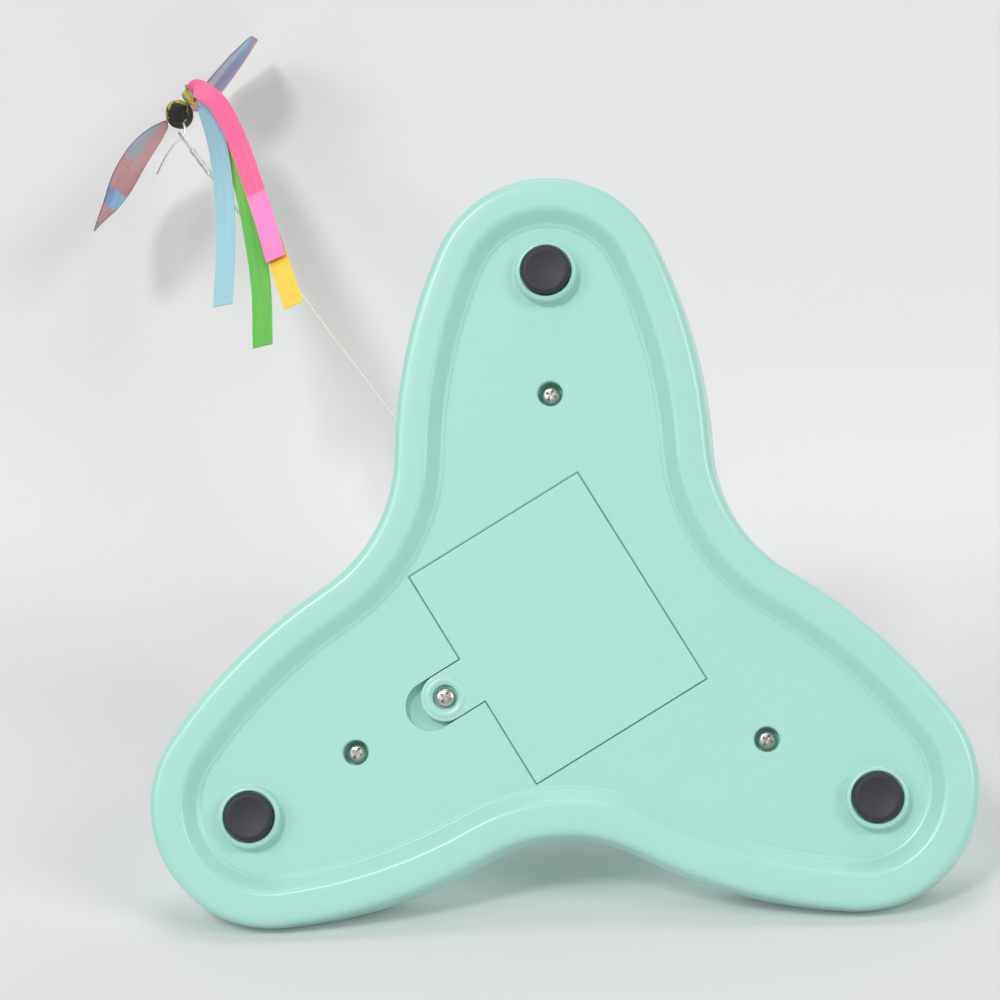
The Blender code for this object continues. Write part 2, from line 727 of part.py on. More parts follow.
def tray_solids(tray):
    """Cups, bosses, the bay's box and the tab pocket that rise from the tray."""
    join(tray, cones_into, foot_places(), FOOT_CUP_RADIUS, FOOT_CUP_BASE_RADIUS,
         -FOOT_CUP_DROP, WALL / 2, ROUND_SIDES)
    join(tray, cones_into, screw_places(), TRAY_BOSS_RADIUS, TRAY_BOSS_RADIUS,
         WALL / 2, SHELL_LIP_HEIGHT - OVERRUN)
    collar = (BAY_WALL + SEAM_GAP + COVER_WIDTH / 2, BAY_WALL + SEAM_GAP + COVER_LENGTH / 2)
    join(tray, cover_box_into, (-collar[0], -collar[1], WALL / 2), (*collar, COLLAR_HEIGHT))
    box = (BAY_WIDTH / 2 + BAY_WALL, BAY_LENGTH / 2 + BAY_WALL)
    join(tray, cover_box_into, (-box[0], -box[1], COLLAR_HEIGHT - SINK), (*box, BAY_TOP))
    half_width = TAB_WIDTH / 2 + SEAM_GAP + POCKET_WALL
    pocket = tab_outline(half_width, TAB_SCREW_REACH + FINGER_NOTCH_LENGTH, COVER_WIDTH / 2)
    join(tray, flat_into, [turned_outline(pocket, COVER_ANGLE)], WALL / 2, POCKET_DEPTH + POCKET_WALL)
    join(tray, cone_into, COVER_BOSS_RADIUS, COVER_BOSS_RADIUS, POCKET_DEPTH + POCKET_WALL / 2,
         COVER_BOSS_HEIGHT, cover_point(TAB_SCREW_REACH, 0.0))
    join(tray, cones_into, board_screw_places(), BOARD_POST_RADIUS, BOARD_POST_RADIUS,
         WALL / 2, board_low() - FIT_GAP)


def tray_cuts(tray):
    """Seats, counterbores, the battery opening, its cavity and the hook slots."""
    cut(tray, cones_into, foot_places(), FOOT_PAD_RADIUS + FIT_GAP, FOOT_PAD_RADIUS + FIT_GAP,
        -FOOT_CUP_DROP - OVERRUN, FOOT_SEAT_DEPTH - FOOT_CUP_DROP, ROUND_SIDES)
    cut(tray, cones_into, screw_places(), COUNTERBORE_RADIUS, COUNTERBORE_RADIUS,
        -OVERRUN, COUNTERBORE_DEPTH, SMALL_SIDES)
    shank = SCREW_SHANK_RADIUS + FIT_GAP
    cut(tray, cones_into, screw_places(), shank, shank, COUNTERBORE_DEPTH - OVERRUN, SHELL_LIP_HEIGHT)
    ledge = COVER_THICKNESS + FIT_GAP
    opening = (COVER_WIDTH / 2 + SEAM_GAP, COVER_LENGTH / 2 + SEAM_GAP)
    cut(tray, cover_box_into, (-opening[0], -opening[1], -OVERRUN), (*opening, ledge))
    cavity = (BAY_WIDTH / 2, BAY_LENGTH / 2)
    cut(tray, cover_box_into, (-cavity[0], -cavity[1], ledge - SINK), (*cavity, BAY_HEIGHT))
    pocket = tab_outline(TAB_WIDTH / 2 + SEAM_GAP, TAB_SCREW_REACH + FINGER_NOTCH_LENGTH,
                         COVER_WIDTH / 2 - 2 * OVERRUN)
    cut(tray, flat_into, [turned_outline(pocket, COVER_ANGLE)], -OVERRUN, POCKET_DEPTH)
    bore = SCREW_SHANK_RADIUS + SEAM_GAP
    cut(tray, cone_into, bore, bore, POCKET_DEPTH - OVERRUN, COVER_BOSS_HEIGHT - SINK,
        cover_point(TAB_SCREW_REACH, 0.0))
    cut(tray, hook_slots_into)
    cut(tray, tail_slots_into)
    cut(tray, cones_into, board_screw_places(), EAR_SCREW_RADIUS + FIT_GAP, EAR_SCREW_RADIUS + FIT_GAP,
        board_low() - BOARD_SCREW_LENGTH, board_low())


def hook_slots_into(shape):
    """Room above the panel for the cover's hooks, and for their swing."""
    low = COVER_THICKNESS + FIT_GAP
    high = low + FIT_GAP + HOOK_THICKNESS + HOOK_SWING_ROOM
    outer = -COVER_WIDTH / 2 - HOOK_REACH - OVERRUN
    inner = -BAY_WIDTH / 2 + OVERRUN
    for side in (-1, 1):
        middle = side * HOOK_SPACING / 2
        reach = HOOK_WIDTH / 2 + SEAM_GAP
        cover_box_into(shape, (outer, middle - reach, low), (inner, middle + reach, high))


def tail_slots_into(shape):
    """Slots in the bay's roof for the two terminal tails."""
    for side in (-1, 1):
        place = (side * CELL_PITCH, side * contact_middle())
        half = (TAIL_WIDTH / 2 + FIT_GAP, CONTACT_THICKNESS / 2 + FIT_GAP)
        cover_box_into(shape, (place[0] - half[0], place[1] - half[1], BAY_HEIGHT - OVERRUN),
                       (place[0] + half[0], place[1] + half[1], BAY_TOP + OVERRUN))


def make_base_tray():
    tray = add_part("base_tray", mesh_from("base_tray", skin_into, tray_rings(), True), MINT)
    tray_solids(tray)
    tray_cuts(tray)


# Upper shell

def arm_height(radius):
    """Height of the arm's top along a lobe's middle line."""
    start = LOBE_REACH - DECK_INSET
    share = (start - radius) / (start - DOME_FOOT_RADIUS)
    return DECK_HEIGHT + ARM_RISE * share ** 2


def dome_station(angle, inward):
    """Radius and height on the dome, or on its inner face."""
    foot = DOME_FOOT_RADIUS - inward
    radius = foot * math.cos(angle) ** DOME_SHAPE_POWER
    rise = (DOME_TOP - inward - DOME_FOOT_HEIGHT) * math.sin(angle) ** DOME_SHAPE_POWER
    return radius, DOME_FOOT_HEIGHT + rise


def dome_height(radius):
    """Height of the dome's outer face at a radius."""
    cosine = (radius / DOME_FOOT_RADIUS) ** (1 / DOME_SHAPE_POWER)
    sine = math.sqrt(1 - cosine ** 2)
    return DOME_FOOT_HEIGHT + (DOME_TOP - DOME_FOOT_HEIGHT) * sine ** DOME_SHAPE_POWER


def shell_face_rings(inward):
    """Rings of the outer face from the side's top to the hole, or of the inner face."""
    rings = []
    for k in range(DECK_EDGE_STEPS + 1):
        angle = math.pi / 2 * k / DECK_EDGE_STEPS
        inset = SHELL_DRAFT + (DECK_INSET - SHELL_DRAFT) * (1 - math.cos(angle))
        height = SHELL_SIDE_TOP + (DECK_HEIGHT - SHELL_SIDE_TOP) * math.sin(angle)
        rings.append(lobed_ring(inset + inward, height - inward))
    for k in range(1, ARM_STEPS):
        share = k / ARM_STEPS
        height = DECK_HEIGHT + ARM_RISE * share ** 2 - inward
        rings.append(arm_ring(DECK_INSET + inward, DOME_FOOT_RADIUS - inward, share, height))
    for k in range(DOME_STEPS):
        rings.append(round_ring(*dome_station(math.pi / 2 * k / DOME_STEPS, inward)))
    rings.append(round_ring(TOP_HOLE_RADIUS, DOME_TOP - inward))
    return rings


def shell_rings():
    """From the lip up over the dome to the hole, and back down inside."""
    skirt = LIP_STEP - FIT_GAP
    skirt_top = SHELL_LIP_HEIGHT + TONGUE_HEIGHT
    rings = [lobed_ring(0.0, SHELL_LIP_HEIGHT)]
    rings += shell_face_rings(0.0)
    rings += reversed(shell_face_rings(WALL))
    rings[-1] = lobed_ring(WALL + SHELL_DRAFT, skirt_top + SINK)
    rings.append(lobed_ring(skirt, skirt_top))
    rings.append(lobed_ring(skirt, SHELL_LIP_HEIGHT))
    return rings


def hanging_posts_into(shape):
    """Posts inside the dome that the gearbox is screwed to."""
    for place in ear_places():
        top = dome_height(place.length) - POST_SINK_SHARE * WALL
        cone_into(shape, HANGING_POST_RADIUS, HANGING_POST_RADIUS, GEAR_COVER_TOP + FIT_GAP, top, place)


def hanging_holes_into(shape):
    hole = EAR_SCREW_RADIUS + FIT_GAP
    cones_into(shape, ear_places(), hole, hole, GEAR_COVER_TOP - OVERRUN,
               GEAR_COVER_TOP + EAR_SCREW_GRIP + FIT_GAP)


def switch_slot_into(shape):
    """The slot that the switch knob stands in."""
    middle = polar(SWITCH_REACH, SWITCH_ANGLE)
    size = (KNOB_WIDTH + 2 * SEAM_GAP, KNOB_LENGTH + SWITCH_TRAVEL + 2 * SEAM_GAP, KNOB_RISE + 2 * WALL)
    box_into(shape, size, (middle.x, middle.y, arm_height(SWITCH_REACH) - WALL / 2), SWITCH_ANGLE)


def make_upper_shell():
    shell = add_part("upper_shell", mesh_from("upper_shell", skin_into, shell_rings(), False), MINT)
    boss_top = arm_height(SCREW_RING_RADIUS) - WALL / 2
    join(shell, cones_into, screw_places(), SHELL_BOSS_RADIUS, SHELL_BOSS_RADIUS,
         SHELL_LIP_HEIGHT - OVERRUN + FIT_GAP, boss_top)
    join(shell, hanging_posts_into)
    shank = SCREW_SHANK_RADIUS + FIT_GAP
    cut(shell, cones_into, screw_places(), shank, shank,
        SHELL_LIP_HEIGHT - 2 * OVERRUN, COUNTERBORE_DEPTH + CASE_SCREW_LENGTH + SINK)
    cut(shell, hanging_holes_into)
    cut(shell, switch_slot_into)


# Feet, screws and the battery cover

def make_feet():
    """Flat rubber pads with rounded edges, each in its cup."""
    top = FOOT_SEAT_DEPTH - FOOT_CUP_DROP - FIT_GAP
    profile = [(0.0, top), (FOOT_PAD_RADIUS, top)]
    for k in range(FOOT_EDGE_STEPS + 1):
        angle = math.pi / 2 * k / FOOT_EDGE_STEPS
        profile.append((FOOT_PAD_RADIUS - FOOT_PAD_EDGE * (1 - math.cos(angle)),
                        FOOT_PAD_EDGE * (1 - math.sin(angle)) - FOOT_PAD_DROP))
    profile.append((0.0, -FOOT_PAD_DROP))
    for number, place in enumerate(foot_places(), start=1):
        turned_part(f"rubber_foot_{number}", profile, RUBBER, at=(*place, 0.0))


def cross_into(shape, face):
    """The cross recess in a screw head whose face is at a height."""
    long, short = CROSS_LENGTH / 2, CROSS_WIDTH / 2
    corner = [(long, -short), (long, short), (short, short)]
    outline = []
    for k in range(4):
        outline += turned_outline([Vector(point) for point in corner], math.pi / 2 * k)
    flat_into(shape, [outline], face - CROSS_DEPTH, face + CROSS_DEPTH)


def make_screw(name, head_radius, head_height, shank_radius, length, up=True, **place):
    """A pan-head screw, its head's seat at zero and its shank pointing up or down."""
    way = 1 if up else -1
    profile = [(0.0, length), (shank_radius / 2, length), (shank_radius, length - shank_radius),
               (shank_radius, 0.0), (head_radius, 0.0), (head_radius, -head_height / 2),
               (head_radius - head_height / 2, -head_height), (0.0, -head_height)]
    turn = (0.0, 0.0, 0.0) if way == 1 else (math.pi, 0.0, 0.0)
    return turned_part(name, profile, SCREW_STEEL, SCREW_SIDES, turn=turn, **place)


def make_case_screws():
    for number, place in enumerate(screw_places(), start=1):
        screw = make_screw(f"case_screw_{number}", SCREW_HEAD_RADIUS, SCREW_HEAD_HEIGHT,
                           SCREW_SHANK_RADIUS, CASE_SCREW_LENGTH,
                           at=(*place, COUNTERBORE_DEPTH - FIT_GAP))
        cut(screw, cross_into, -SCREW_HEAD_HEIGHT)


def cover_hooks_into(shape):
    """Two hooks on the cover's far edge, reaching over the panel inside."""
    low = COVER_THICKNESS + 2 * FIT_GAP
    root = -BAY_WIDTH / 2 + FIT_GAP
    for side in (-1, 1):
        near = side * HOOK_SPACING / 2 - HOOK_WIDTH / 2
        far = near + HOOK_WIDTH
        span_box_into(shape, (root, near, COVER_THICKNESS - SINK),
                      (root + HOOK_ROOT_LENGTH, far, low + HOOK_THICKNESS))


def cover_hook_lips_into(shape):
    low = COVER_THICKNESS + 2 * FIT_GAP
    root = -BAY_WIDTH / 2 + FIT_GAP
    for side in (-1, 1):
        near = side * HOOK_SPACING / 2 - HOOK_WIDTH / 2
        far = near + HOOK_WIDTH
        span_box_into(shape, (-COVER_WIDTH / 2 - HOOK_REACH, near, low),
                      (root + HOOK_ROOT_LENGTH / 2, far, low + HOOK_THICKNESS))


def make_battery_cover():
    """The cover turns about its far outer edge, so its frame sits on that edge."""
    edge = cover_point(-COVER_WIDTH / 2, 0.0)
    hinge = add_empty("battery_cover_hinge", (edge.x, edge.y, 0.0), COVER_ANGLE)
    back = Matrix.Translation((COVER_WIDTH / 2, 0.0, 0.0))

    def in_hinge_frame(shape, fill, *args):
        fill(shape, *args)
        bmesh.ops.transform(shape, matrix=back, verts=shape.verts[:])

    plate = mesh_from("battery_cover", in_hinge_frame, span_box_into,
                      (-COVER_WIDTH / 2, -COVER_LENGTH / 2, 0.0),
                      (COVER_WIDTH / 2, COVER_LENGTH / 2, COVER_THICKNESS))
    cover = add_part("battery_cover", plate, MINT, parent=hinge)
    tab = tab_outline(TAB_WIDTH / 2, TAB_SCREW_REACH, COVER_WIDTH / 2 - OVERRUN)
    join(cover, in_hinge_frame, flat_into, [tab], 0.0, TAB_THICKNESS)
    join(cover, in_hinge_frame, cover_hooks_into)
    join(cover, in_hinge_frame, cover_hook_lips_into)
    place = Vector((TAB_SCREW_REACH, 0.0))
    cut(cover, in_hinge_frame, cone_into, COUNTERBORE_RADIUS, COUNTERBORE_RADIUS,
        -OVERRUN, TAB_COUNTERBORE_DEPTH, place)
    shank = SCREW_SHANK_RADIUS + FIT_GAP
    cut(cover, in_hinge_frame, cone_into, shank, shank, 0.0, TAB_THICKNESS + OVERRUN, place)
    screw = make_screw("battery_cover_screw", SCREW_HEAD_RADIUS, COVER_SCREW_HEAD_HEIGHT,
                       SCREW_SHANK_RADIUS, COVER_SCREW_LENGTH, parent=hinge,
                       at=(COVER_WIDTH / 2 + TAB_SCREW_REACH, 0.0, TAB_COUNTERBORE_DEPTH - FIT_GAP))
    cut(screw, cross_into, -COVER_SCREW_HEAD_HEIGHT)


# Cells and contacts

def cell_middle_height():
    return (COVER_THICKNESS + FIT_GAP + BAY_HEIGHT) / 2


def contact_middle():
    """Distance from the bay's middle to the middle of a contact plate."""
    return BAY_LENGTH / 2 - CONTACT_SETBACK - CONTACT_THICKNESS / 2


def button_reach():
    """How far from the bay's middle a cell's button ends."""
    return contact_middle() - CONTACT_THICKNESS / 2 - FIT_GAP


def make_cells():
    """Three AA cells, the middle one the other way round."""
    shoulder = CELL_LENGTH - CELL_BUTTON_HEIGHT
    profile = [(0.0, CELL_LENGTH), (CELL_BUTTON_RADIUS, CELL_LENGTH), (CELL_BUTTON_RADIUS, shoulder),
               (CELL_RADIUS - CELL_SHOULDER, shoulder), (CELL_RADIUS, shoulder - CELL_SHOULDER),
               (CELL_RADIUS, CELL_SHOULDER), (CELL_RADIUS - CELL_SHOULDER, 0.0), (0.0, 0.0)]
    height = cell_middle_height()
    for number, (across, way) in enumerate(((-1, -1), (0, 1), (1, -1)), start=1):
        start = cover_point(across * CELL_PITCH, way * (button_reach() - CELL_LENGTH))
        turn = (-way * math.pi / 2, 0.0, COVER_ANGLE)
        turned_part(f"aa_cell_{number}", profile, CELL_JACKET, SMALL_SIDES,
                    at=(start.x, start.y, height), turn=turn)


def make_contact_plate(name, low_across, high_across, way, tail):
    """A contact plate against an end wall, with a tail through the roof if it is a terminal."""
    height = cell_middle_height()
    middle = way * contact_middle()
    half = CONTACT_THICKNESS / 2

    def plate_into(shape):
        cover_box_into(shape, (low_across, middle - half, height - CONTACT_HEIGHT / 2),
                       (high_across, middle + half, height + CONTACT_HEIGHT / 2))

    plate = add_part(name, mesh_from(name, plate_into), CONTACT_METAL)
    if tail:
        across = (low_across + high_across) / 2

        def tail_into(shape):
            cover_box_into(shape, (across - TAIL_WIDTH / 2, middle - half, height),
                           (across + TAIL_WIDTH / 2, middle + half, TAIL_TOP))
        join(plate, tail_into)


def make_contacts():
    half = CONTACT_WIDTH / 2
    make_contact_plate("terminal_plate_positive", -CELL_PITCH - half, -CELL_PITCH + half, -1, True)
    make_contact_plate("terminal_plate_negative", CELL_PITCH - half, CELL_PITCH + half, 1, True)
    make_contact_plate("bridge_plate_a", -CELL_PITCH - half, half, 1, False)
    make_contact_plate("bridge_plate_b", -half, CELL_PITCH + half, -1, False)


def spring_points(length):
    """A cylindrical spring along +Z, with straight ends one wire diameter long."""
    lead_in = 2 * SPRING_WIRE_RADIUS
    rise = length - 2 * lead_in
    count = int(SPRING_TURNS * SPRING_POINTS_A_TURN)
    points = [Vector((SPRING_RADIUS, 0.0, 0.0))]
    for k in range(count + 1):
        across = polar(SPRING_RADIUS, math.tau * k / SPRING_POINTS_A_TURN)
        points.append(Vector((across.x, across.y, lead_in + rise * k / count)))
    points.append(Vector((points[-1].x, points[-1].y, length)))
    return points


def least_self_gap(points, radius):
    """The least distance between turns of a tube that are more than half a turn apart."""
    apart = SPRING_POINTS_A_TURN // 2 + 1
    least = min((a - b).length for k, a in enumerate(points) for b in points[k + apart:])
    return least - 2 * radius


def make_springs():
    """One spring behind the flat end of each cell."""
    length = 2 * button_reach() - CELL_LENGTH - FIT_GAP
    points = spring_points(length)
    print("least gap between the springs' turns:", round(least_self_gap(points, SPRING_WIRE_RADIUS), 5))
    height = cell_middle_height()
    for number, (across, way) in enumerate(((-1, 1), (0, -1), (1, 1)), start=1):
        start = cover_point(across * CELL_PITCH, way * button_reach())
        turn = (way * math.pi / 2, 0.0, COVER_ANGLE)
        tube_part(f"contact_spring_{number}", points, SPRING_WIRE_RADIUS, CONTACT_METAL, 1,
                  at=(start.x, start.y, height), turn=turn)


# Gear train

def train_places():
    """Places of the spindle, the two compound gears and the motor, seen from above."""
    places = [Vector((0.0, 0.0))]
    for k in range(3):
        places.append(polar(GEAR_CENTRES, TRAIN_START_ANGLE + TRAIN_STEP_ANGLE * k))
    return places


SPINDLE_PLACE, SECOND_PLACE, FIRST_PLACE, MOTOR_PLACE = train_places()


def involute(angle_at_radius):
    return math.tan(angle_at_radius) - angle_at_radius


def half_tooth_angle(radius, teeth):
    """Half the angle that a tooth covers at a radius, from the involute."""
    pitch = GEAR_MODULE * teeth / 2
    base = pitch * math.cos(PRESSURE_ANGLE)
    at_pitch = (math.pi * GEAR_MODULE / 2 - TOOTH_THINNING) / (2 * pitch)
    if radius <= base:
        return at_pitch + involute(PRESSURE_ANGLE)
    return at_pitch + involute(PRESSURE_ANGLE) - involute(math.acos(base / radius))


def gear_outline(teeth, addendum_share, phase):
    """The toothed outline, with a tooth centred on the phase angle."""
    pitch = GEAR_MODULE * teeth / 2
    root = pitch - DEDENDUM_SHARE * GEAR_MODULE
    tip = pitch + addendum_share * GEAR_MODULE
    base = pitch * math.cos(PRESSURE_ANGLE)
    start = root if base - root < SHORT_ROOT else base
    radii = [start + (tip - start) * k / FLANK_STEPS for k in range(FLANK_STEPS + 1)]
    if start > root:
        radii.insert(0, root)
    points = []
    for tooth in range(teeth):
        middle = phase + math.tau * tooth / teeth
        rising = [polar(radius, middle - half_tooth_angle(radius, teeth)) for radius in radii]
        falling = [polar(radius, middle + half_tooth_angle(radius, teeth)) for radius in reversed(radii)]
        points += rising + falling
    return points


def meshing_phase(phase, teeth, towards, other_teeth):
    """The phase of a gear whose gap meets the tooth of the gear before it."""
    place = (towards - phase) * teeth / math.tau
    gap = -place - 0.5
    return towards + math.pi - gap * math.tau / other_teeth


def heading(start, end):
    return math.atan2(end.y - start.y, end.x - start.x)


def circle_outline(radius, centre=(0.0, 0.0), sides=SMALL_SIDES):
    return [Vector(centre) + polar(radius, math.tau * k / sides) for k in range(sides)]


def make_gear_train():
    """Output wheel, two compound gears on pins, and the motor's pinion."""
    output_phase = 0.0
    second_pinion = meshing_phase(output_phase, WHEEL_TEETH, heading(SPINDLE_PLACE, SECOND_PLACE), PINION_TEETH)
    second_wheel = 0.0
    first_pinion = meshing_phase(second_wheel, WHEEL_TEETH, heading(SECOND_PLACE, FIRST_PLACE), PINION_TEETH)
    first_wheel = 0.0
    motor_pinion = meshing_phase(first_wheel, WHEEL_TEETH, heading(FIRST_PLACE, MOTOR_PLACE), PINION_TEETH)
    low_c, low_b, low_a = LEVEL_LOWS
    wheel = gear_outline(WHEEL_TEETH, ADDENDUM_SHARE, output_phase)
    bore = circle_outline(SPINDLE_RADIUS + FIT_GAP)
    add_part("output_gear", flat_mesh("output_gear", [wheel, bore], low_a, low_a + FACE_WIDTH), GEAR_NYLON)
    make_compound_gear("compound_gear_1", FIRST_PLACE, first_wheel, first_pinion, low_c,
                       PLATE_TOP + FIT_GAP, GEAR_COVER_LOW - FIT_GAP)
    make_compound_gear("compound_gear_2", SECOND_PLACE, second_wheel, second_pinion, low_b,
                       PLATE_TOP + FIT_GAP, GEAR_COVER_LOW - FIT_GAP)
    outline = gear_outline(PINION_TEETH, PINION_ADDENDUM_SHARE, motor_pinion)
    shaft_hole = circle_outline(MOTOR_SHAFT_RADIUS + FIT_GAP)
    pinion = flat_mesh("motor_pinion", [outline, shaft_hole], low_c, low_c + FACE_WIDTH)
    add_part("motor_pinion", pinion, GEAR_NYLON, at=(*MOTOR_PLACE, 0.0))
    for number, place in enumerate((FIRST_PLACE, SECOND_PLACE), start=1):
        pin = mesh_from("gear_pin", cone_into, PIN_RADIUS, PIN_RADIUS, GEAR_FLOOR + FIT_GAP,
                        GEAR_COVER_TOP - FIT_GAP)
        add_part(f"gear_pin_{number}", pin, WIRE_STEEL, at=(*place, 0.0))


def make_compound_gear(name, place, wheel_phase, pinion_phase, wheel_low, low, high):
    """A wheel with a pinion over it, and hubs that reach the plates."""
    wheel_top = wheel_low + FACE_WIDTH
    pinion_top = wheel_top + LEVEL_PITCH
    wheel = flat_mesh(name, [gear_outline(WHEEL_TEETH, ADDENDUM_SHARE, wheel_phase)], wheel_low, wheel_top)
    gear = add_part(name, wheel, GEAR_NYLON, at=(*place, 0.0))
    join(gear, flat_into, [gear_outline(PINION_TEETH, PINION_ADDENDUM_SHARE, pinion_phase)],
         wheel_top - SINK, min(pinion_top, high))
    join(gear, cone_into, HUB_RADIUS, HUB_RADIUS, low, high)
    bore = PIN_RADIUS + FIT_GAP
    cut(gear, cone_into, bore, bore, low - OVERRUN, high + OVERRUN)


# Gearbox

def box_outline(spread):
    """A rounded outline round the four gear places, as arcs joined by straight runs."""
    corners = [SPINDLE_PLACE, SECOND_PLACE, FIRST_PLACE, MOTOR_PLACE]
    points = []
    for k, corner in enumerate(corners):
        before = corners[k - 1]
        after = corners[(k + 1) % len(corners)]
        start = heading(before, corner) - math.pi / 2
        end = heading(corner, after) - math.pi / 2
        sweep = (end - start) % math.tau
        steps = max(2, round(SMALL_SIDES * sweep / math.tau))
        for step in range(steps + 1):
            points.append(corner + polar(spread, start + sweep * step / steps))
    return points


def ear_places():
    """Screw ears outside the gearbox, beyond the spindle, second and motor places."""
    reach = WHEEL_TIP_RADIUS + BOX_CLEARANCE + BOX_WALL + EAR_OFFSET
    places = []
    for corner, angle in ((SPINDLE_PLACE, math.radians(30)), (SECOND_PLACE, TRAIN_START_ANGLE),
                          (MOTOR_PLACE, TRAIN_START_ANGLE + 2 * TRAIN_STEP_ANGLE)):
        places.append(corner + polar(reach, angle))
    return places


def make_gearbox():
    """An open box with the motor hung below it, and a lid; screws hold both to the shell."""
    inner = WHEEL_TIP_RADIUS + BOX_CLEARANCE
    outer = inner + BOX_WALL
    wall_top = GEAR_COVER_LOW - FIT_GAP
    base = add_part("gearbox_base", flat_mesh("gearbox_base", [box_outline(outer)], GEAR_FLOOR, wall_top),
                    BOX_PLASTIC)
    join(base, cones_into, ear_places(), EAR_RADIUS, EAR_RADIUS, GEAR_FLOOR + SINK, wall_top - SINK)
    cut(base, flat_into, [box_outline(inner)], PLATE_TOP, wall_top + OVERRUN)
    cover = add_part("gearbox_cover", flat_mesh("gearbox_cover", [box_outline(outer)], GEAR_COVER_LOW,
                                                GEAR_COVER_TOP), BOX_PLASTIC)
    join(cover, cones_into, ear_places(), EAR_RADIUS, EAR_RADIUS, GEAR_COVER_LOW + SINK / 2,
         GEAR_COVER_TOP - SINK / 2)
    pin_hole = PIN_RADIUS + FIT_GAP
    spindle_hole = SPINDLE_RADIUS + FIT_GAP
    ear_hole = EAR_SCREW_RADIUS + FIT_GAP
    pinion_hole = GEAR_MODULE * (PINION_TEETH / 2 + PINION_ADDENDUM_SHARE) + FIT_GAP
    for plate in (base, cover):
        cut(plate, cones_into, (FIRST_PLACE, SECOND_PLACE), pin_hole, pin_hole,
            GEAR_FLOOR - OVERRUN, GEAR_COVER_TOP + OVERRUN)
        cut(plate, cone_into, spindle_hole, spindle_hole, GEAR_FLOOR - OVERRUN,
            GEAR_COVER_TOP + OVERRUN, SPINDLE_PLACE)
        cut(plate, cones_into, ear_places(), ear_hole, ear_hole, GEAR_FLOOR - OVERRUN,
            GEAR_COVER_TOP + OVERRUN)
    cut(base, cone_into, pinion_hole, pinion_hole, GEAR_FLOOR - OVERRUN, PLATE_TOP + OVERRUN, MOTOR_PLACE)
    seat = GEAR_FLOOR + SINK - FIT_GAP
    length = GEAR_COVER_TOP + EAR_SCREW_GRIP - seat
    for number, place in enumerate(ear_places(), start=1):
        make_screw(f"gearbox_screw_{number}", EAR_SCREW_HEAD_RADIUS, EAR_SCREW_HEAD_HEIGHT,
                   EAR_SCREW_RADIUS, length, at=(*place, seat))


def make_motor():
    """A flat round motor with two solder tabs, and its shaft."""
    top_boss = SPINDLE_RADIUS + MOTOR_EDGE
    profile = [(0.0, MOTOR_HEIGHT), (MOTOR_RADIUS - MOTOR_EDGE, MOTOR_HEIGHT),
               (MOTOR_RADIUS, MOTOR_HEIGHT - MOTOR_EDGE), (MOTOR_RADIUS, MOTOR_EDGE),
               (MOTOR_RADIUS - MOTOR_EDGE, 0.0), (0.0, 0.0)]
    can = turned_part("motor_can", profile, MOTOR_STEEL, at=(*MOTOR_PLACE, MOTOR_LOW))
    shaft_hole = MOTOR_SHAFT_RADIUS + FIT_GAP
    cut(can, cone_into, shaft_hole, shaft_hole, MOTOR_HEIGHT - top_boss, MOTOR_HEIGHT + OVERRUN)
    join(can, motor_tabs_into)
    shaft_low = MOTOR_TOP - top_boss + FIT_GAP
    shaft = mesh_from("motor_shaft", cone_into, MOTOR_SHAFT_RADIUS, MOTOR_SHAFT_RADIUS, shaft_low,
                      LEVEL_LOWS[0] + FACE_WIDTH)
    add_part("motor_shaft", shaft, WIRE_STEEL, at=(*MOTOR_PLACE, 0.0))


def motor_tabs_into(shape):
    """Two solder tabs on the can's side."""
    for side in (-1, 1):
        middle = (side * (MOTOR_RADIUS + MOTOR_TAB_LENGTH / 2 - SINK), 0.0, MOTOR_TAB_HEIGHT)
        box_into(shape, (MOTOR_TAB_LENGTH + SINK, MOTOR_TAB_WIDTH, MOTOR_TAB_THICKNESS), middle)


# Spindle, bush and cap

def make_spindle():
    low = GEAR_FLOOR + FIT_GAP
    top = CAP_TOP - CAP_SOCKET_ROOF - FIT_GAP
    spindle = add_part("output_spindle", mesh_from("output_spindle", cone_into, SPINDLE_RADIUS,
                                                   SPINDLE_RADIUS, low, top), WIRE_STEEL)
    hole = CAP_SCREW_RADIUS + FIT_GAP
    cut(spindle, cone_into, hole, hole, top - CAP_SOCKET_ROOF, top + OVERRUN)
    bore = SPINDLE_RADIUS + FIT_GAP
    sleeve = TOP_HOLE_RADIUS - FIT_GAP
    flange_low = DOME_TOP + FIT_GAP
    flange_top = flange_low + BUSH_FLANGE_HEIGHT
    profile = [(bore, flange_top), (BUSH_FLANGE_RADIUS, flange_top), (BUSH_FLANGE_RADIUS, flange_low),
               (sleeve, flange_low), (sleeve, DOME_TOP - BUSH_SLEEVE_DEPTH),
               (bore, DOME_TOP - BUSH_SLEEVE_DEPTH)]
    turned_part("top_bush", profile, GEAR_NYLON, closed=True)


def wire_frame_point(reach, side, height):
    """A point given outward along the wire's azimuth, sideways and up."""
    out = polar(reach, WIRE_AZIMUTH)
    across = polar(side, WIRE_AZIMUTH + math.pi / 2)
    return Vector((out.x + across.x, out.y + across.y, height))


def socket_point(distance):
    """A point along the wire's socket, measured outwards from its mouth."""
    return wire_frame_point(WIRE_SOCKET_REACH + distance * math.cos(WIRE_ROOT_SLOPE), 0.0,
                            WIRE_SOCKET_HEIGHT + distance * math.sin(WIRE_ROOT_SLOPE))


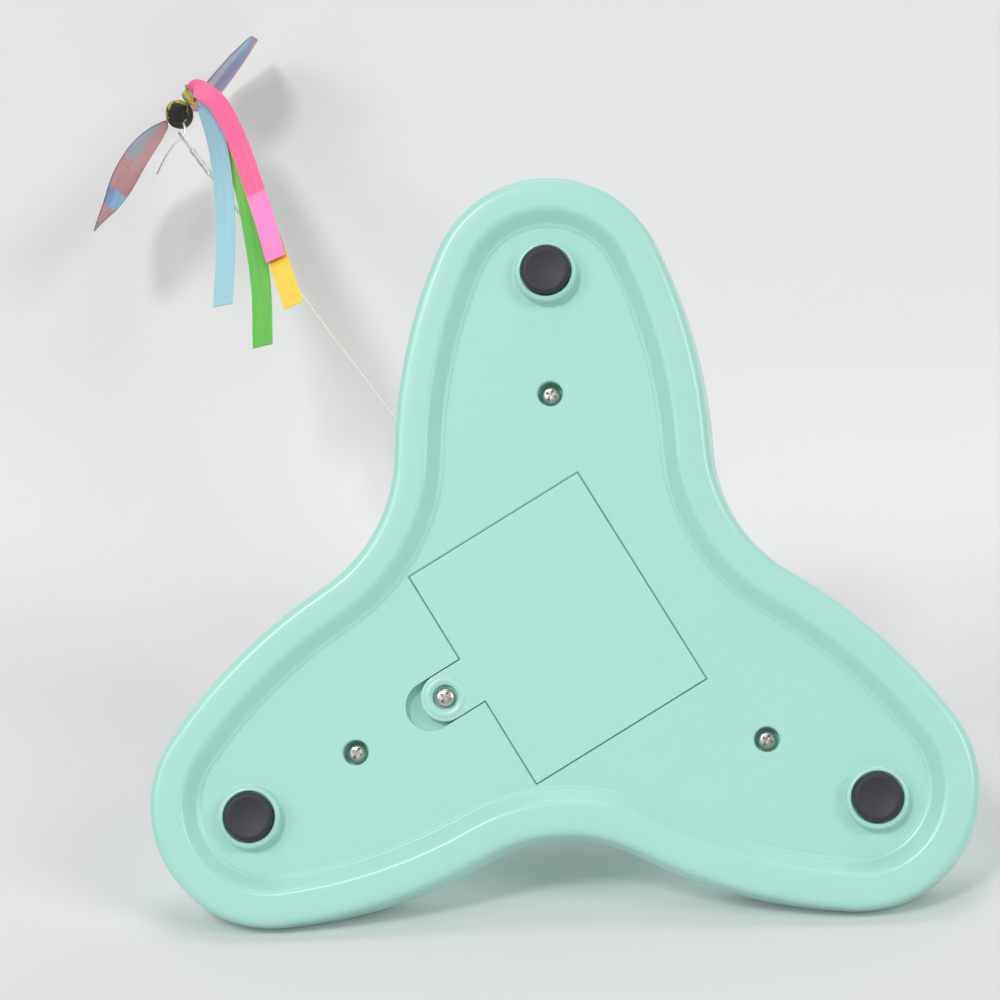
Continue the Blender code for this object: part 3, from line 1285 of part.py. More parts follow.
def make_rotor_cap():
    """The domed cap on the spindle, with a slanting socket for the wire."""
    skirt_top = CAP_LOW + CAP_SKIRT
    profile = [(0.0, CAP_TOP), (CAP_TOP_RADIUS, CAP_TOP)]
    for k in range(1, CAP_STEPS + 1):
        angle = math.pi / 2 * k / CAP_STEPS
        profile.append((CAP_TOP_RADIUS + (CAP_RADIUS - CAP_TOP_RADIUS) * math.sin(angle),
                        skirt_top + (CAP_TOP - skirt_top) * math.cos(angle)))
    profile += [(CAP_RADIUS, CAP_LOW), (0.0, CAP_LOW)]
    cap = turned_part("rotor_cap", profile, MINT)
    bore = SPINDLE_RADIUS + FIT_GAP
    cut(cap, cone_into, bore, bore, CAP_LOW - OVERRUN, CAP_TOP - CAP_SOCKET_ROOF)
    hole = CAP_SCREW_RADIUS + FIT_GAP
    cut(cap, cone_into, hole, hole, CAP_LOW, CAP_TOP + OVERRUN)
    recess = CAP_SCREW_HEAD_RADIUS + FIT_GAP
    cut(cap, cone_into, recess, recess, CAP_TOP - CAP_SCREW_HEAD_HEIGHT - 2 * FIT_GAP, CAP_TOP + OVERRUN)
    cut(cap, rod_into, WIRE_RADIUS + FIT_GAP, socket_point(-WIRE_SOCKET_DEPTH), socket_point(WIRE_SOCKET_DEPTH))
    seat = CAP_TOP - CAP_SCREW_HEAD_HEIGHT - FIT_GAP
    screw = make_screw("rotor_cap_screw", CAP_SCREW_HEAD_RADIUS, CAP_SCREW_HEAD_HEIGHT,
                       CAP_SCREW_RADIUS, CAP_SOCKET_ROOF + CAP_SCREW_HEAD_HEIGHT, up=False,
                       at=(0.0, 0.0, seat))
    cut(screw, cross_into, -CAP_SCREW_HEAD_HEIGHT)


# Wire, loop and sleeve

def loop_centre():
    """The loop hangs its lower inside on the hook's bar."""
    return (PIVOT_REACH, PIVOT_HEIGHT + LOOP_RADIUS - WIRE_RADIUS - HOOK_WIRE_RADIUS - FIT_GAP)


def wire_plane_points():
    """Reach and height along the wire, from its socket to the end of its loop."""
    root_way = polar(1.0, WIRE_ROOT_SLOPE)
    tip_way = polar(1.0, WIRE_TIP_SLOPE)
    mouth = Vector((WIRE_SOCKET_REACH, WIRE_SOCKET_HEIGHT))
    root = mouth - (WIRE_SOCKET_DEPTH - FIT_GAP) * root_way
    start = mouth + (WIRE_SOCKET_DEPTH + WIRE_STRAIGHT_ROOT) * root_way
    centre = Vector(loop_centre())
    start_angle = WIRE_TIP_SLOPE - math.pi / 2
    tip = centre + polar(LOOP_RADIUS, start_angle)
    end = tip - WIRE_STRAIGHT_END * tip_way
    span = (end - start).length
    first = start + WIRE_HANDLE_SHARES[0] * span * root_way
    second = end - WIRE_HANDLE_SHARES[1] * span * tip_way
    points = [root]
    for k in range(WIRE_STEPS + 1):
        t = k / WIRE_STEPS
        u = 1 - t
        points.append(u ** 3 * start + 3 * u * u * t * first + 3 * u * t * t * second + t ** 3 * end)
    for k in range(LOOP_STEPS + 1):
        angle = start_angle + LOOP_SWEEP * k / LOOP_STEPS
        points.append(centre + polar(LOOP_RADIUS, angle))
    return points, tip


def make_wire():
    """Spring wire in the upright plane through the spindle, and the crimped sleeve on it."""
    points, tip = wire_plane_points()
    tube_part("spring_wire", [wire_frame_point(reach, 0.0, height) for reach, height in points],
              WIRE_RADIUS, WIRE_STEEL)
    back = Vector((-math.cos(WIRE_TIP_SLOPE), -math.sin(WIRE_TIP_SLOPE)))
    near = Vector(tip) + SLEEVE_SETBACK * back
    far = near + SLEEVE_LENGTH * back
    profile = [(SLEEVE_BORE_RADIUS, SLEEVE_LENGTH), (SLEEVE_RADIUS, SLEEVE_LENGTH), (SLEEVE_RADIUS, 0.0),
               (SLEEVE_BORE_RADIUS, 0.0)]
    start, end = (wire_frame_point(point.x, 0.0, point.y) for point in (far, near))
    turn = (end - start).to_track_quat("Z", "Y").to_euler()
    turned_part("crimp_sleeve", profile, MOTOR_STEEL, SMALL_SIDES, closed=True, at=start, turn=turn)


# Butterfly

def wing_matrix(tip, chord_way):
    """Axes of a wing: along its span, along its chord, and through its thickness."""
    span = Vector(tip).normalized()
    chord = Vector(chord_way)
    chord = (chord - chord.dot(span) * span).normalized()
    through = span.cross(chord)
    frame = Matrix((span, chord, through)).transposed().to_4x4()
    root = BODY_CENTRE + span * body_reach(span)
    return Matrix.Translation(root) @ frame


def body_reach(direction):
    """Distance from the body's middle to just outside its skin, in a direction."""
    across = math.hypot(direction.x, direction.y) / BODY_RADIUS
    along = direction.z / BODY_HALF_LENGTH
    return 1 / math.hypot(across, along) + WING_ROOT_GAP


def make_wing(name, tip, chord_way, parent):
    length = Vector(tip).length - body_reach(Vector(tip).normalized())
    outline = [(along * length, across * WING_CHORD) for along, across in WING_OUTLINE_SHARES]
    wing = add_part(name, flat_mesh(name, [outline], -WING_THICKNESS / 2, WING_THICKNESS / 2),
                    WING_PRINT, parent=parent)
    wing.matrix_local = wing_matrix(tip, chord_way)


def droop(distance):
    """How far a ribbon has drooped at a distance from the knot."""
    return RIBBON_DROOP_SHARE * (math.hypot(distance, RIBBON_DROOP_BEND) - RIBBON_DROOP_BEND)


def ribbon_into(shape, points):
    """A flat strip along a route, level across its run, that droops away from its start."""
    rows = []
    for k, point in enumerate(points):
        along = (points[min(k + 1, len(points) - 1)] - points[max(k - 1, 0)]).normalized()
        gather = RIBBON_GATHER_SHARES[k] if k < len(RIBBON_GATHER_SHARES) else 1
        side = gather * RIBBON_WIDTH / 2 * Vector((-along.y, along.x, 0.0)).normalized()
        row = []
        for across, up in ((1, -1), (-1, -1), (-1, 1), (1, 1)):
            corner = point + across * side
            corner.z += up * RIBBON_THICKNESS / 2 - droop(points[0].x - corner.x)
            row.append(shape.verts.new(corner))
        rows.append(row)
    for lower, upper in zip(rows, rows[1:]):
        for k in range(4):
            following = (k + 1) % 4
            shape.faces.new((lower[k], lower[following], upper[following], upper[k]))
    shape.faces.new(rows[0])
    shape.faces.new(rows[-1])


def make_ribbons(parent):
    """Four satin ribbons, stacked beside the knot, drooping inwards and down below the wire."""
    knot = BODY_CENTRE + Vector(KNOT_OFFSET)
    top = RIBBON_STACK_PITCH * (len(RIBBONS) - 1) / 2
    for number, (name, colour, shares) in enumerate(RIBBONS):
        level = top - RIBBON_STACK_PITCH * number
        start = knot + Vector((0.0, KNOT_SIZE[1] / 2 + RIBBON_START_GAP, level))
        root = start + Vector((*RIBBON_ROOT, 0.0))
        route = [start, root] + [start + RIBBON_REACH * Vector((*share, 0.0)) for share in shares]
        points = smooth_route(route, RIBBON_STEPS)
        look = (name + "_satin", colour, 0.45, 0.0)
        add_part(name, mesh_from(name, ribbon_into, points), look, parent=parent)


def make_butterfly():
    """Everything that swings on the wire's loop, in a frame at the hook's bar."""
    pivot = wire_frame_point(PIVOT_REACH, 0.0, PIVOT_HEIGHT)
    swing = add_empty("butterfly_swing", pivot, WIRE_AZIMUTH)
    body_mesh = bpy.data.meshes.new("butterfly_body")
    shape = bmesh.new()
    ball = bmesh.ops.create_uvsphere(shape, u_segments=BODY_SEGMENTS, v_segments=BODY_RINGS, radius=1.0)["verts"]
    bmesh.ops.scale(shape, vec=(BODY_RADIUS, BODY_RADIUS, BODY_HALF_LENGTH), verts=ball)
    bmesh.ops.translate(shape, vec=BODY_OFFSET, verts=ball)
    shape.to_mesh(body_mesh)
    shape.free()
    body = add_part("butterfly_body", body_mesh, BODY_BLACK, parent=swing)
    inner, outer = Vector(HOOK_ROUTE[0]), Vector(HOOK_ROUTE[2])
    along = (outer - inner).normalized()
    cut(body, rod_into, HOOK_SOCKET_RADIUS, inner - FIT_GAP * along, outer)
    tube_part("butterfly_hook", smooth_route(HOOK_ROUTE, HOOK_STEPS), HOOK_WIRE_RADIUS, WIRE_STEEL,
              parent=swing)
    make_wing("wing_left", LEFT_WING_TIP, LEFT_WING_CHORD_WAY, swing)
    make_wing("wing_right", RIGHT_WING_TIP, RIGHT_WING_CHORD_WAY, swing)
    knot_mesh = mesh_from("ribbon_knot", box_into, KNOT_SIZE, BODY_CENTRE + Vector(KNOT_OFFSET))
    knot = add_part("ribbon_knot", knot_mesh, KNOT_GREEN, parent=swing)
    rounding = knot.modifiers.new("rounding", "BEVEL")
    rounding.width = KNOT_EDGE
    rounding.segments = 2
    make_ribbons(swing)


# Switch, board and leads

def flange_top():
    """Top of the knob's flange, just under the arm."""
    return arm_height(SWITCH_REACH + FLANGE_WIDTH / 2) - WALL - FLANGE_CLEARANCE


def board_low():
    """Underside of the board, so that the switch reaches the knob's flange."""
    flange_low = flange_top() - FLANGE_HEIGHT
    return flange_low - FIT_GAP - SWITCH_BODY_HEIGHT - FIT_GAP - BOARD_THICKNESS


def switch_point(along, across):
    """A place on the switch's lobe: along the lobe from the switch, and across it."""
    return Matrix.Rotation(SWITCH_ANGLE, 2) @ Vector((SWITCH_REACH + along, across))


def board_screw_places():
    return [switch_point(0.0, side * BOARD_SCREW_SPACING / 2) for side in (-1, 1)]


def make_switch():
    """Board on two posts, the switch on it and the knob in its slot."""
    middle = switch_point(0.0, 0.0)
    low = board_low()
    top = low + BOARD_THICKNESS
    board_mesh = mesh_from("switch_board", box_into, (BOARD_WIDTH, BOARD_LENGTH, BOARD_THICKNESS),
                           (0.0, 0.0, low + BOARD_THICKNESS / 2))
    board = add_part("switch_board", board_mesh, BOARD_GREEN, at=(*middle, 0.0), turn=(0.0, 0.0, SWITCH_ANGLE))
    hole = EAR_SCREW_RADIUS + FIT_GAP
    spots = [(0.0, side * BOARD_SCREW_SPACING / 2) for side in (-1, 1)]
    cut(board, cones_into, spots, hole, hole, low - OVERRUN, top + OVERRUN)
    body_low = top + FIT_GAP
    body_mesh = mesh_from("switch_body", box_into,
                          (SWITCH_BODY_WIDTH, SWITCH_BODY_LENGTH, SWITCH_BODY_HEIGHT),
                          (0.0, 0.0, body_low + SWITCH_BODY_HEIGHT / 2))
    add_part("switch_body", body_mesh, SWITCH_BLACK, at=(*middle, 0.0), turn=(0.0, 0.0, SWITCH_ANGLE))
    make_switch_knob(middle)
    for number, place in enumerate(board_screw_places(), start=1):
        make_screw(f"board_screw_{number}", BOARD_SCREW_HEAD_RADIUS, BOARD_SCREW_HEAD_HEIGHT,
                   EAR_SCREW_RADIUS, BOARD_SCREW_LENGTH, up=False, at=(*place, top + FIT_GAP))


def make_switch_knob(middle):
    """The knob stands at the off end of its travel."""
    rest = -SWITCH_TRAVEL / 2
    flange_low = flange_top() - FLANGE_HEIGHT
    top = arm_height(SWITCH_REACH) + KNOB_RISE
    flange = mesh_from("switch_knob", box_into, (FLANGE_WIDTH, FLANGE_LENGTH, FLANGE_HEIGHT),
                       (0.0, rest, flange_low + FLANGE_HEIGHT / 2))
    knob = add_part("switch_knob", flange, KNOB_WHITE, at=(*middle, 0.0), turn=(0.0, 0.0, SWITCH_ANGLE))
    join(knob, box_into, (KNOB_WIDTH, KNOB_LENGTH, top - flange_low - SINK),
         (0.0, rest, (top + flange_low + SINK) / 2))


def lead_points(start, end, *between):
    """A lead that leaves and meets its joints upright and turns over a short bend."""
    start, end, *between = (Vector(point) for point in (start, end, *between))
    up = Vector((0.0, 0.0, LEAD_BEND))
    first, last = start + up, end + up
    after = first + LEAD_BEND * (between[0] - first).normalized()
    before = last + LEAD_BEND * (between[-1] - last).normalized()
    route = [start, first, after, *between, before, last, end]
    return smooth_route(route, LEAD_SPAN_STEPS * (len(route) - 1))


def make_leads():
    """Two red leads through the switch and a black one straight to the motor."""
    plus = cover_point(-CELL_PITCH, -contact_middle())
    minus = cover_point(CELL_PITCH, contact_middle())
    tail = TAIL_TOP + FIT_GAP
    board_top = board_low() + BOARD_THICKNESS + FIT_GAP
    pad_back = 2 * LEAD_RADIUS - BOARD_WIDTH / 2
    tab_reach = MOTOR_RADIUS + MOTOR_TAB_LENGTH - 2 * LEAD_RADIUS
    tab_height = MOTOR_LOW + MOTOR_TAB_HEIGHT + MOTOR_TAB_THICKNESS / 2 + FIT_GAP
    left_tab, right_tab = (MOTOR_PLACE + Vector((side * tab_reach, 0.0)) for side in (-1, 1))
    pads, passes, overs = [], [], []
    for side in (1, -1):
        pads.append(switch_point(pad_back, side * PAD_ASIDE))
        passes.append(switch_point(LEAD_PASS_REACH - SWITCH_REACH, side * LEAD_PASS_ASIDE))
        overs.append(switch_point(LEAD_BAY_REACH - SWITCH_REACH, side * LEAD_PASS_ASIDE))
    tube_part("lead_red_battery", lead_points(
        (*plus, tail), (*pads[0], board_top), (*overs[0], LEAD_BAY_HEIGHT),
        (*passes[0], LEAD_PASS_HEIGHT)), LEAD_RADIUS, LEAD_RED)
    tube_part("lead_red_motor", lead_points(
        (*pads[1], board_top), (*left_tab, tab_height), (*passes[1], LEAD_PASS_HEIGHT),
        (*overs[1], LEAD_BAY_HEIGHT)), LEAD_RADIUS, LEAD_RED)
    start, end = Vector((*minus, tail)), Vector((*right_tab, tab_height))
    lift = Vector((0.0, 0.0, LEAD_BEND + LEAD_ARCH))
    tube_part("lead_black", lead_points(
        start, end, *(start.lerp(end, share) + lift for share in LEAD_MIDDLE_SHARES)),
        LEAD_RADIUS, LEAD_BLACK)


make_base_tray()
make_upper_shell()
make_feet()
make_case_screws()
make_battery_cover()
make_cells()
make_contacts()
make_springs()
make_gear_train()
make_gearbox()
make_motor()
make_spindle()
make_rotor_cap()
make_wire()
make_butterfly()
make_switch()
make_leads()
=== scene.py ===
import contextlib
import math

import bmesh
import bpy
from mathutils import Matrix, Vector, noise


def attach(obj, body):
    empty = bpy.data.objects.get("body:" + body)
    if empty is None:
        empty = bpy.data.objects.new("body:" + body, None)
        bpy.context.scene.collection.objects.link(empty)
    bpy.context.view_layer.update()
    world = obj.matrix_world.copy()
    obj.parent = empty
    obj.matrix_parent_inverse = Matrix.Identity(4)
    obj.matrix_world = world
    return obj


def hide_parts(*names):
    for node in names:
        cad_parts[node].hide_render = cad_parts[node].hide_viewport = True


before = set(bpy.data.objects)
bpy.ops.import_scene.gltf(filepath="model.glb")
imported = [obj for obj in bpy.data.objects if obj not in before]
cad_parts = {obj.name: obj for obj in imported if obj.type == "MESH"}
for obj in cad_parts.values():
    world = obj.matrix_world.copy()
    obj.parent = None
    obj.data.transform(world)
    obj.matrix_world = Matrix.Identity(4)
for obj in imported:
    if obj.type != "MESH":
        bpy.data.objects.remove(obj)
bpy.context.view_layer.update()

# Fits and small sizes that the whole toy shares, in metres
FIT_GAP = 0.0003
SEAM_GAP = 0.00024
WALL = 0.0020
PAST = 0.0010           # how far a boss or a cutter runs past a face
SOFT_EDGE = 0.0004
FLOOR_LEVEL = -0.0053

# Outline of the base, as in the frame
LOBE_ANGLES = (math.radians(90), math.radians(210), math.radians(330))
LOBE_REACH = 0.1094
VALLEY_REACH = 0.0502
LOBE_END_RADIUS = 0.0295
LOBE_END_SWEEP = math.radians(65.5)
VALLEY_RADIUS = 0.0370
END_STEPS = 14
SHOULDER_STEPS = 8
VALLEY_STEPS = 8

# Base tray
RIM_DROP = 0.0035
RIM_WIDTH = 0.0082
STEP_WIDTH = 0.0046
RIM_EDGE_RADIUS = 0.0022
TRAY_DRAFT = 0.0009
PARTING_HEIGHT = 0.0090
LIP_STEP = 0.0012
TONGUE_HEIGHT = 0.0015
FOOT_RING = 0.0855
SCREW_RING = 0.514 * LOBE_REACH
BOSS_RADIUS = 0.0045
TAB_BOSS_RADIUS = 0.0040
COUNTERBORE_RADIUS = 0.0030
COUNTERBORE_DEPTH = 0.0045
SHANK_RADIUS = 0.0013
CUP_RADIUS = 0.0074
CUP_FOOT_RADIUS = 0.0075
CUP_DROP = 0.0038
CUP_LIP = 0.0009
CUP_FLARE = 0.0005
PAD_RADIUS = 0.00585
PAD_BACK = -0.0027
PAD_EDGE = 0.0010
PAD_DISH_RADIUS = 0.0047
PAD_DISH = 0.0005

# The step from the flat panel up to the rim, as shares of its width and height
STEP_SHAPE = (
    (1.03, 0.000), (1.00, 0.004), (0.975, 0.022), (0.955, 0.045), (0.935, 0.062),
    (0.910, 0.076), (0.880, 0.091), (0.855, 0.100), (0.830, 0.106), (0.800, 0.118),
    (0.765, 0.145), (0.720, 0.190), (0.650, 0.275), (0.565, 0.385), (0.435, 0.560),
    (0.305, 0.735), (0.195, 0.870), (0.120, 0.940), (0.065, 0.972), (0.010, 0.993),
)

# Upper shell
SHELL_DRAFT = 0.0003
SHELL_SIDE_TOP = 0.0130
DECK_INSET = 0.0060
DECK_HEIGHT = 0.0180
ARM_RISE = 0.0060
DOME_FOOT_RADIUS = 0.0435
DOME_FOOT_HEIGHT = DECK_HEIGHT + ARM_RISE
DOME_TOP = 0.0520
TOP_HOLE_RADIUS = 0.0048
SWITCH_REACH = 0.64 * LOBE_REACH
KNOB_WIDTH = 0.0038
KNOB_LENGTH = 0.0040
KNOB_RISE = 0.0021
KNOB_FLANGE = (0.0040, 0.0056)
SWITCH_TRAVEL = 0.0030

# Battery cover and bay
COVER_ANGLE = LOBE_ANGLES[2]
CELL_RADIUS = 0.0071
CELL_LENGTH = 0.0502
CELL_PITCH = 0.0148
BAY_WIDTH = 3 * CELL_PITCH + 0.0003
BAY_LENGTH = CELL_LENGTH + 0.0063
BAY_HEIGHT = 0.0173
BAY_WALL = 0.0015
COVER_WIDTH = BAY_WIDTH + 0.0024
COVER_LENGTH = BAY_LENGTH + 0.0014
COVER_THICKNESS = 0.0020
TAB_WIDTH = 0.01155
TAB_THICKNESS = 0.0027
TAB_REACH = COVER_WIDTH / 2 + 0.00775
FINGER_NOTCH = 0.0040
POCKET_DEPTH = 0.0030
HOOK_PLACE = 0.52 * COVER_LENGTH / 2
HOOK_WIDTH = 0.0070
HOOK_THICKNESS = 0.0010

# Rotor and wire
CAP_RADIUS = 0.0160
CAP_LOW = 0.0534
CAP_TOP = 0.0654
CAP_SKIRT = 0.0035
CAP_TOP_RADIUS = 0.0060
WIRE_AZIMUTH = math.radians(55.3)
WIRE_RADIUS = 0.0004
WIRE_ROOT_SLOPE = math.radians(58)
WIRE_TIP_SLOPE = math.radians(33)
SOCKET_MOUTH = Vector((0.0090, 0.0615))
SOCKET_DEPTH = 0.0064
PIVOT_REACH = 0.2153
PIVOT_HEIGHT = 0.2355
LOOP_RADIUS = 0.0017
HOOK_WIRE_RADIUS = 0.00035
SLEEVE_RADIUS = 0.00088
SLEEVE_BORE = 0.00046

# Butterfly, outward, sideways and up from the loop that it hangs on
BODY_PLACE = Vector((0.0075, 0.0035, 0.0045))
BODY_RADIUS = 0.0042
BODY_HALF_LENGTH = 0.0085
WING_CHORD = 0.0420
KNOT_PLACE = BODY_PLACE + Vector((0.0014, 0.0054, -0.0040))
KNOT_WIDTH = 0.0028
RIBBON_WIDTH = 0.0060
RIBBON_REACH = 0.1000
HOOK_ROUTE = (
    (0.0067, 0.0033, 0.0021), (0.0046, 0.0030, 0.0012), (0.0024, 0.0026, 0.0003),
    (0.0006, 0.0014, 0.0), (0.0, 0.0, 0.0), (0.0, -0.0014, 0.0),
    (-0.0006, -0.0040, 0.0003), (-0.0018, -0.0080, 0.0014), (-0.0040, -0.0128, 0.0030),
)
WING_EDGE = (
    (0.00, 0.06), (0.14, 0.22), (0.30, 0.36), (0.48, 0.42), (0.66, 0.35), (0.80, 0.21),
    (0.91, 0.08), (0.97, 0.01), (1.00, -0.03), (0.97, -0.08), (0.90, -0.18), (0.80, -0.31),
    (0.70, -0.40), (0.61, -0.44), (0.54, -0.45), (0.42, -0.45), (0.30, -0.39), (0.18, -0.29),
    (0.08, -0.17), (0.00, -0.06),
)
# Each ribbon: its length, colour and painted lit colour, where the painted light changes along it
# and how much of it there is before and after, its level in the stack, how far out it starts, and
# its route in shares of the reach
RIBBONS = {
    "green": (0.1270, (0.105, 0.510, 0.060), (0.360, 0.720, 0.150), (0.40, 0.75), (0.9, 0.0),
              0.0015, 0.0,
              ((-0.080, -0.005), (-0.205, -0.016), (-0.358, -0.049), (-0.541, -0.113),
               (-0.744, -0.197), (-0.925, -0.294))),
    "yellow": (0.1170, (0.930, 0.430, 0.040), (0.970, 0.690, 0.070), (0.35, 0.85), (0.0, 0.9),
               0.0005, 0.0,
               ((-0.068, 0.019), (-0.166, 0.012), (-0.305, -0.009), (-0.480, -0.054),
                (-0.681, -0.105), (-0.875, -0.154))),
    "blue": (0.1010, (0.270, 0.440, 0.540), (0.360, 0.640, 0.730), (0.30, 0.80), (0.1, 0.9),
             -0.0005, 0.0,
             ((-0.087, -0.010), (-0.188, -0.041), (-0.320, -0.094), (-0.454, -0.159),
              (-0.593, -0.237), (-0.722, -0.318))),
    "pink": (0.0930, (0.960, 0.135, 0.320), (1.0, 0.270, 0.640), (0.775, 0.795), (0.0, 0.9),
             -0.0015, 0.0026,
             ((-0.055, 0.027), (-0.120, 0.028), (-0.253, 0.006), (-0.389, -0.028),
              (-0.526, -0.063), (-0.701, -0.115))),
}


# Choosing and editing pieces

def choose(*pieces):
    """Only these pieces are selected, and the first is the active one."""
    bpy.ops.object.select_all(action="DESELECT")
    for piece in pieces:
        piece.select_set(True)
    bpy.context.view_layer.objects.active = pieces[0]


@contextlib.contextmanager
def editing(piece):
    choose(piece)
    bpy.ops.object.mode_set(mode="EDIT")
    bpy.ops.mesh.select_mode(type="VERT")
    yield bmesh.from_edit_mesh(piece.data)
    bmesh.update_edit_mesh(piece.data)
    bpy.ops.object.mode_set(mode="OBJECT")


def apply_modifier(piece, kind, **settings):
    choose(piece)
    modifier = piece.modifiers.new(kind.lower(), kind)
    for key, value in settings.items():
        setattr(modifier, key, value)
    bpy.ops.object.modifier_apply(modifier=modifier.name)


def smooth(piece, angle, weighted=False):
    choose(piece)
    bpy.ops.object.shade_smooth_by_angle(angle=math.radians(angle))
    if weighted:
        apply_modifier(piece, "WEIGHTED_NORMAL", keep_sharp=True)


def start_from(primitive, name, **sizes):
    """A new primitive of this size, with nothing else selected."""
    bpy.ops.object.select_all(action="DESELECT")
    primitive(**sizes)
    piece = bpy.context.object
    piece.name = name
    return piece


def select_open_edges():
    bpy.ops.mesh.select_all(action="DESELECT")
    bpy.ops.mesh.select_non_manifold()


def face_outwards():
    bpy.ops.mesh.select_all(action="SELECT")
    bpy.ops.mesh.normals_make_consistent(inside=False)


def loft(name, rings, closed=False, capped=True):
    """A skin drawn from ring to ring of points, capped at its ends or closed on itself."""
    piece = start_from(bpy.ops.mesh.primitive_circle_add, name, vertices=len(rings[0]),
                       radius=RIM_WIDTH, fill_type="NOTHING", calc_uvs=False)
    with editing(piece) as shape:
        bpy.ops.mesh.select_all(action="SELECT")
        place = shape.verts.layers.int.new("place")
        for vert in shape.verts:
            vert[place] = vert.index
            vert.co = rings[0][vert.index]
        for ring in rings[1:]:
            bpy.ops.mesh.extrude_edges_move()
            shape = bmesh.from_edit_mesh(piece.data)
            place = shape.verts.layers.int["place"]
            for vert in shape.verts:
                if vert.select:
                    vert.co = ring[vert[place]]
        if closed:
            select_open_edges()
            bpy.ops.mesh.bridge_edge_loops()
        elif capped:
            bpy.ops.mesh.edge_face_add()
            select_open_edges()
            bpy.ops.mesh.edge_face_add()
        face_outwards()
    piece.data.attributes.remove(piece.data.attributes["place"])
    return piece


def quarter(steps, first=0):
    """Sine and cosine at even steps through a quarter turn."""
    for k in range(first, steps + 1):
        angle = math.pi / 2 * k / steps
        yield math.sin(angle), math.cos(angle)


def ring_at(radius, height, sides, centre=(0.0, 0.0)):
    return [Vector((centre[0] + radius * math.cos(math.tau * k / sides),
                    centre[1] + radius * math.sin(math.tau * k / sides), height))
            for k in range(sides)]


def turned(name, profile, centre=(0.0, 0.0), sides=64, closed=False, place=None):
    """A turned piece: radius and height pairs spun round an upright line."""
    rings = [ring_at(radius, height, sides, centre) for radius, height in profile]
    if place is not None:
        rings = [[place @ point for point in ring] for ring in rings]
    return loft(name, rings, closed=closed)


def post(radius, low, high, centre=(0.0, 0.0), sides=24, place=None):
    """A plain round boss or cutter."""
    return turned("tool", [(radius, low), (radius, high)], centre, sides, place=place)


def slab(name, outline, low, high):
    """A flat plate of an outline's shape, between two heights."""
    return loft(name, [[Vector((x, y, height)) for x, y in outline] for height in (low, high)])


def box_between(name, low, high, turn=0.0):
    """A block between two corners, turned about the spindle's line."""
    spin = Matrix.Rotation(turn, 3, "Z")
    corners = [(low[0], low[1]), (high[0], low[1]), (high[0], high[1]), (low[0], high[1])]
    return loft(name, [[spin @ Vector((x, y, height)) for x, y in corners]
                       for height in (low[2], high[2])])


def gather(name, pieces):
    """Several pieces made one mesh."""
    choose(*pieces)
    if len(pieces) > 1:
        bpy.ops.object.join()
    joined = bpy.context.object
    joined.name = name
    return joined


MUCH_CUT = ("base_tray_shell", "battery_door")
SAME_CORNER = 0.000001


def combine(piece, tools, operation):
    """A cut or a join. A piece with many of them is kept sound for the next one: corners that
    nearly meet are merged, and large faces are split."""
    tool = gather("tool", tools)
    apply_modifier(piece, "BOOLEAN", operation=operation, object=tool, solver="EXACT")
    if piece.name in MUCH_CUT:
        apply_modifier(piece, "WELD", merge_threshold=SAME_CORNER)
        apply_modifier(piece, "TRIANGULATE", min_vertices=5)
    bpy.data.objects.remove(tool, do_unlink=True)


def carve(piece, *tools):
    combine(piece, tools, "DIFFERENCE")


def add_on(piece, *tools):
    combine(piece, tools, "UNION")


def tube(name, points, radius, sides=4):
    """A round wire along points, made a mesh with filled ends."""
    bpy.ops.object.select_all(action="DESELECT")
    line = bpy.data.curves.new(name, "CURVE")
    line.dimensions = "3D"
    line.bevel_depth = radius
    line.bevel_resolution = sides
    line.use_fill_caps = True
    spline = line.splines.new("POLY")
    spline.points.add(len(points) - 1)
    for knot, point in zip(spline.points, points):
        knot.co = (*point, 1.0)
    piece = bpy.data.objects.new(name, line)
    bpy.context.collection.objects.link(piece)
    choose(piece)
    bpy.ops.object.convert(target="MESH")
    piece = bpy.context.object
    with editing(piece):
        bpy.ops.mesh.select_all(action="SELECT")
        bpy.ops.mesh.remove_doubles(threshold=0.000001)
        bpy.ops.mesh.normals_make_consistent(inside=False)
    smooth(piece, 50)
    return piece


def put(piece, material, body, slot, *nodes):
    """The finished piece gets its material, its body and the nodes that it stands for."""
    if not piece.data.materials:
        piece.data.materials.append(material)
    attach(piece, body)
    if nodes:
        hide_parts(*nodes)


def polar(radius, angle):
    return Vector((radius * math.cos(angle), radius * math.sin(angle)))


def stand(start, way):
    """The place of a piece that stands on a point and runs along a direction."""
    return Matrix.Translation(start) @ way.to_track_quat("Z", "Y").to_matrix().to_4x4()


def through(route, count):
    """Points along one smooth curve through a route's own points."""
    route = [Vector(point) for point in route]
    padded = [2 * route[0] - route[1], *route, 2 * route[-1] - route[-2]]
    points = []
    for k in range(count + 1):
        place = (len(route) - 1) * k / count
        span = min(int(place), len(route) - 2)
        a, b, c, d = padded[span:span + 4]
        t = place - span
        points.append(0.5 * (2 * b + (c - a) * t + (2 * a - 5 * b + 4 * c - d) * t ** 2
                             + (3 * b - a - 3 * c + d) * t ** 3))
    return points


# Nodes that the finishes are made of

def add_node(tree, kind, links=None, **settings):
    """A node with its settings, and its inputs linked or set by name or number."""
    node = tree.nodes.new("ShaderNode" + kind)
    for key, value in settings.items():
        setattr(node, key, value)
    for key, value in (links or {}).items():
        if isinstance(value, bpy.types.NodeSocket):
            tree.links.new(value, node.inputs[key])
        else:
            node.inputs[key].default_value = value
    return node


def place_on(tree, kind="Object"):
    return add_node(tree, "TexCoord").outputs[kind]


def directions(tree, place):
    return add_node(tree, "SeparateXYZ", {"Vector": place}).outputs


def calc(tree, operation, *values, clamp=False):
    """One sum on numbers or on what other nodes put out."""
    return add_node(tree, "Math", dict(enumerate(values)), operation=operation,
                    use_clamp=clamp).outputs[0]


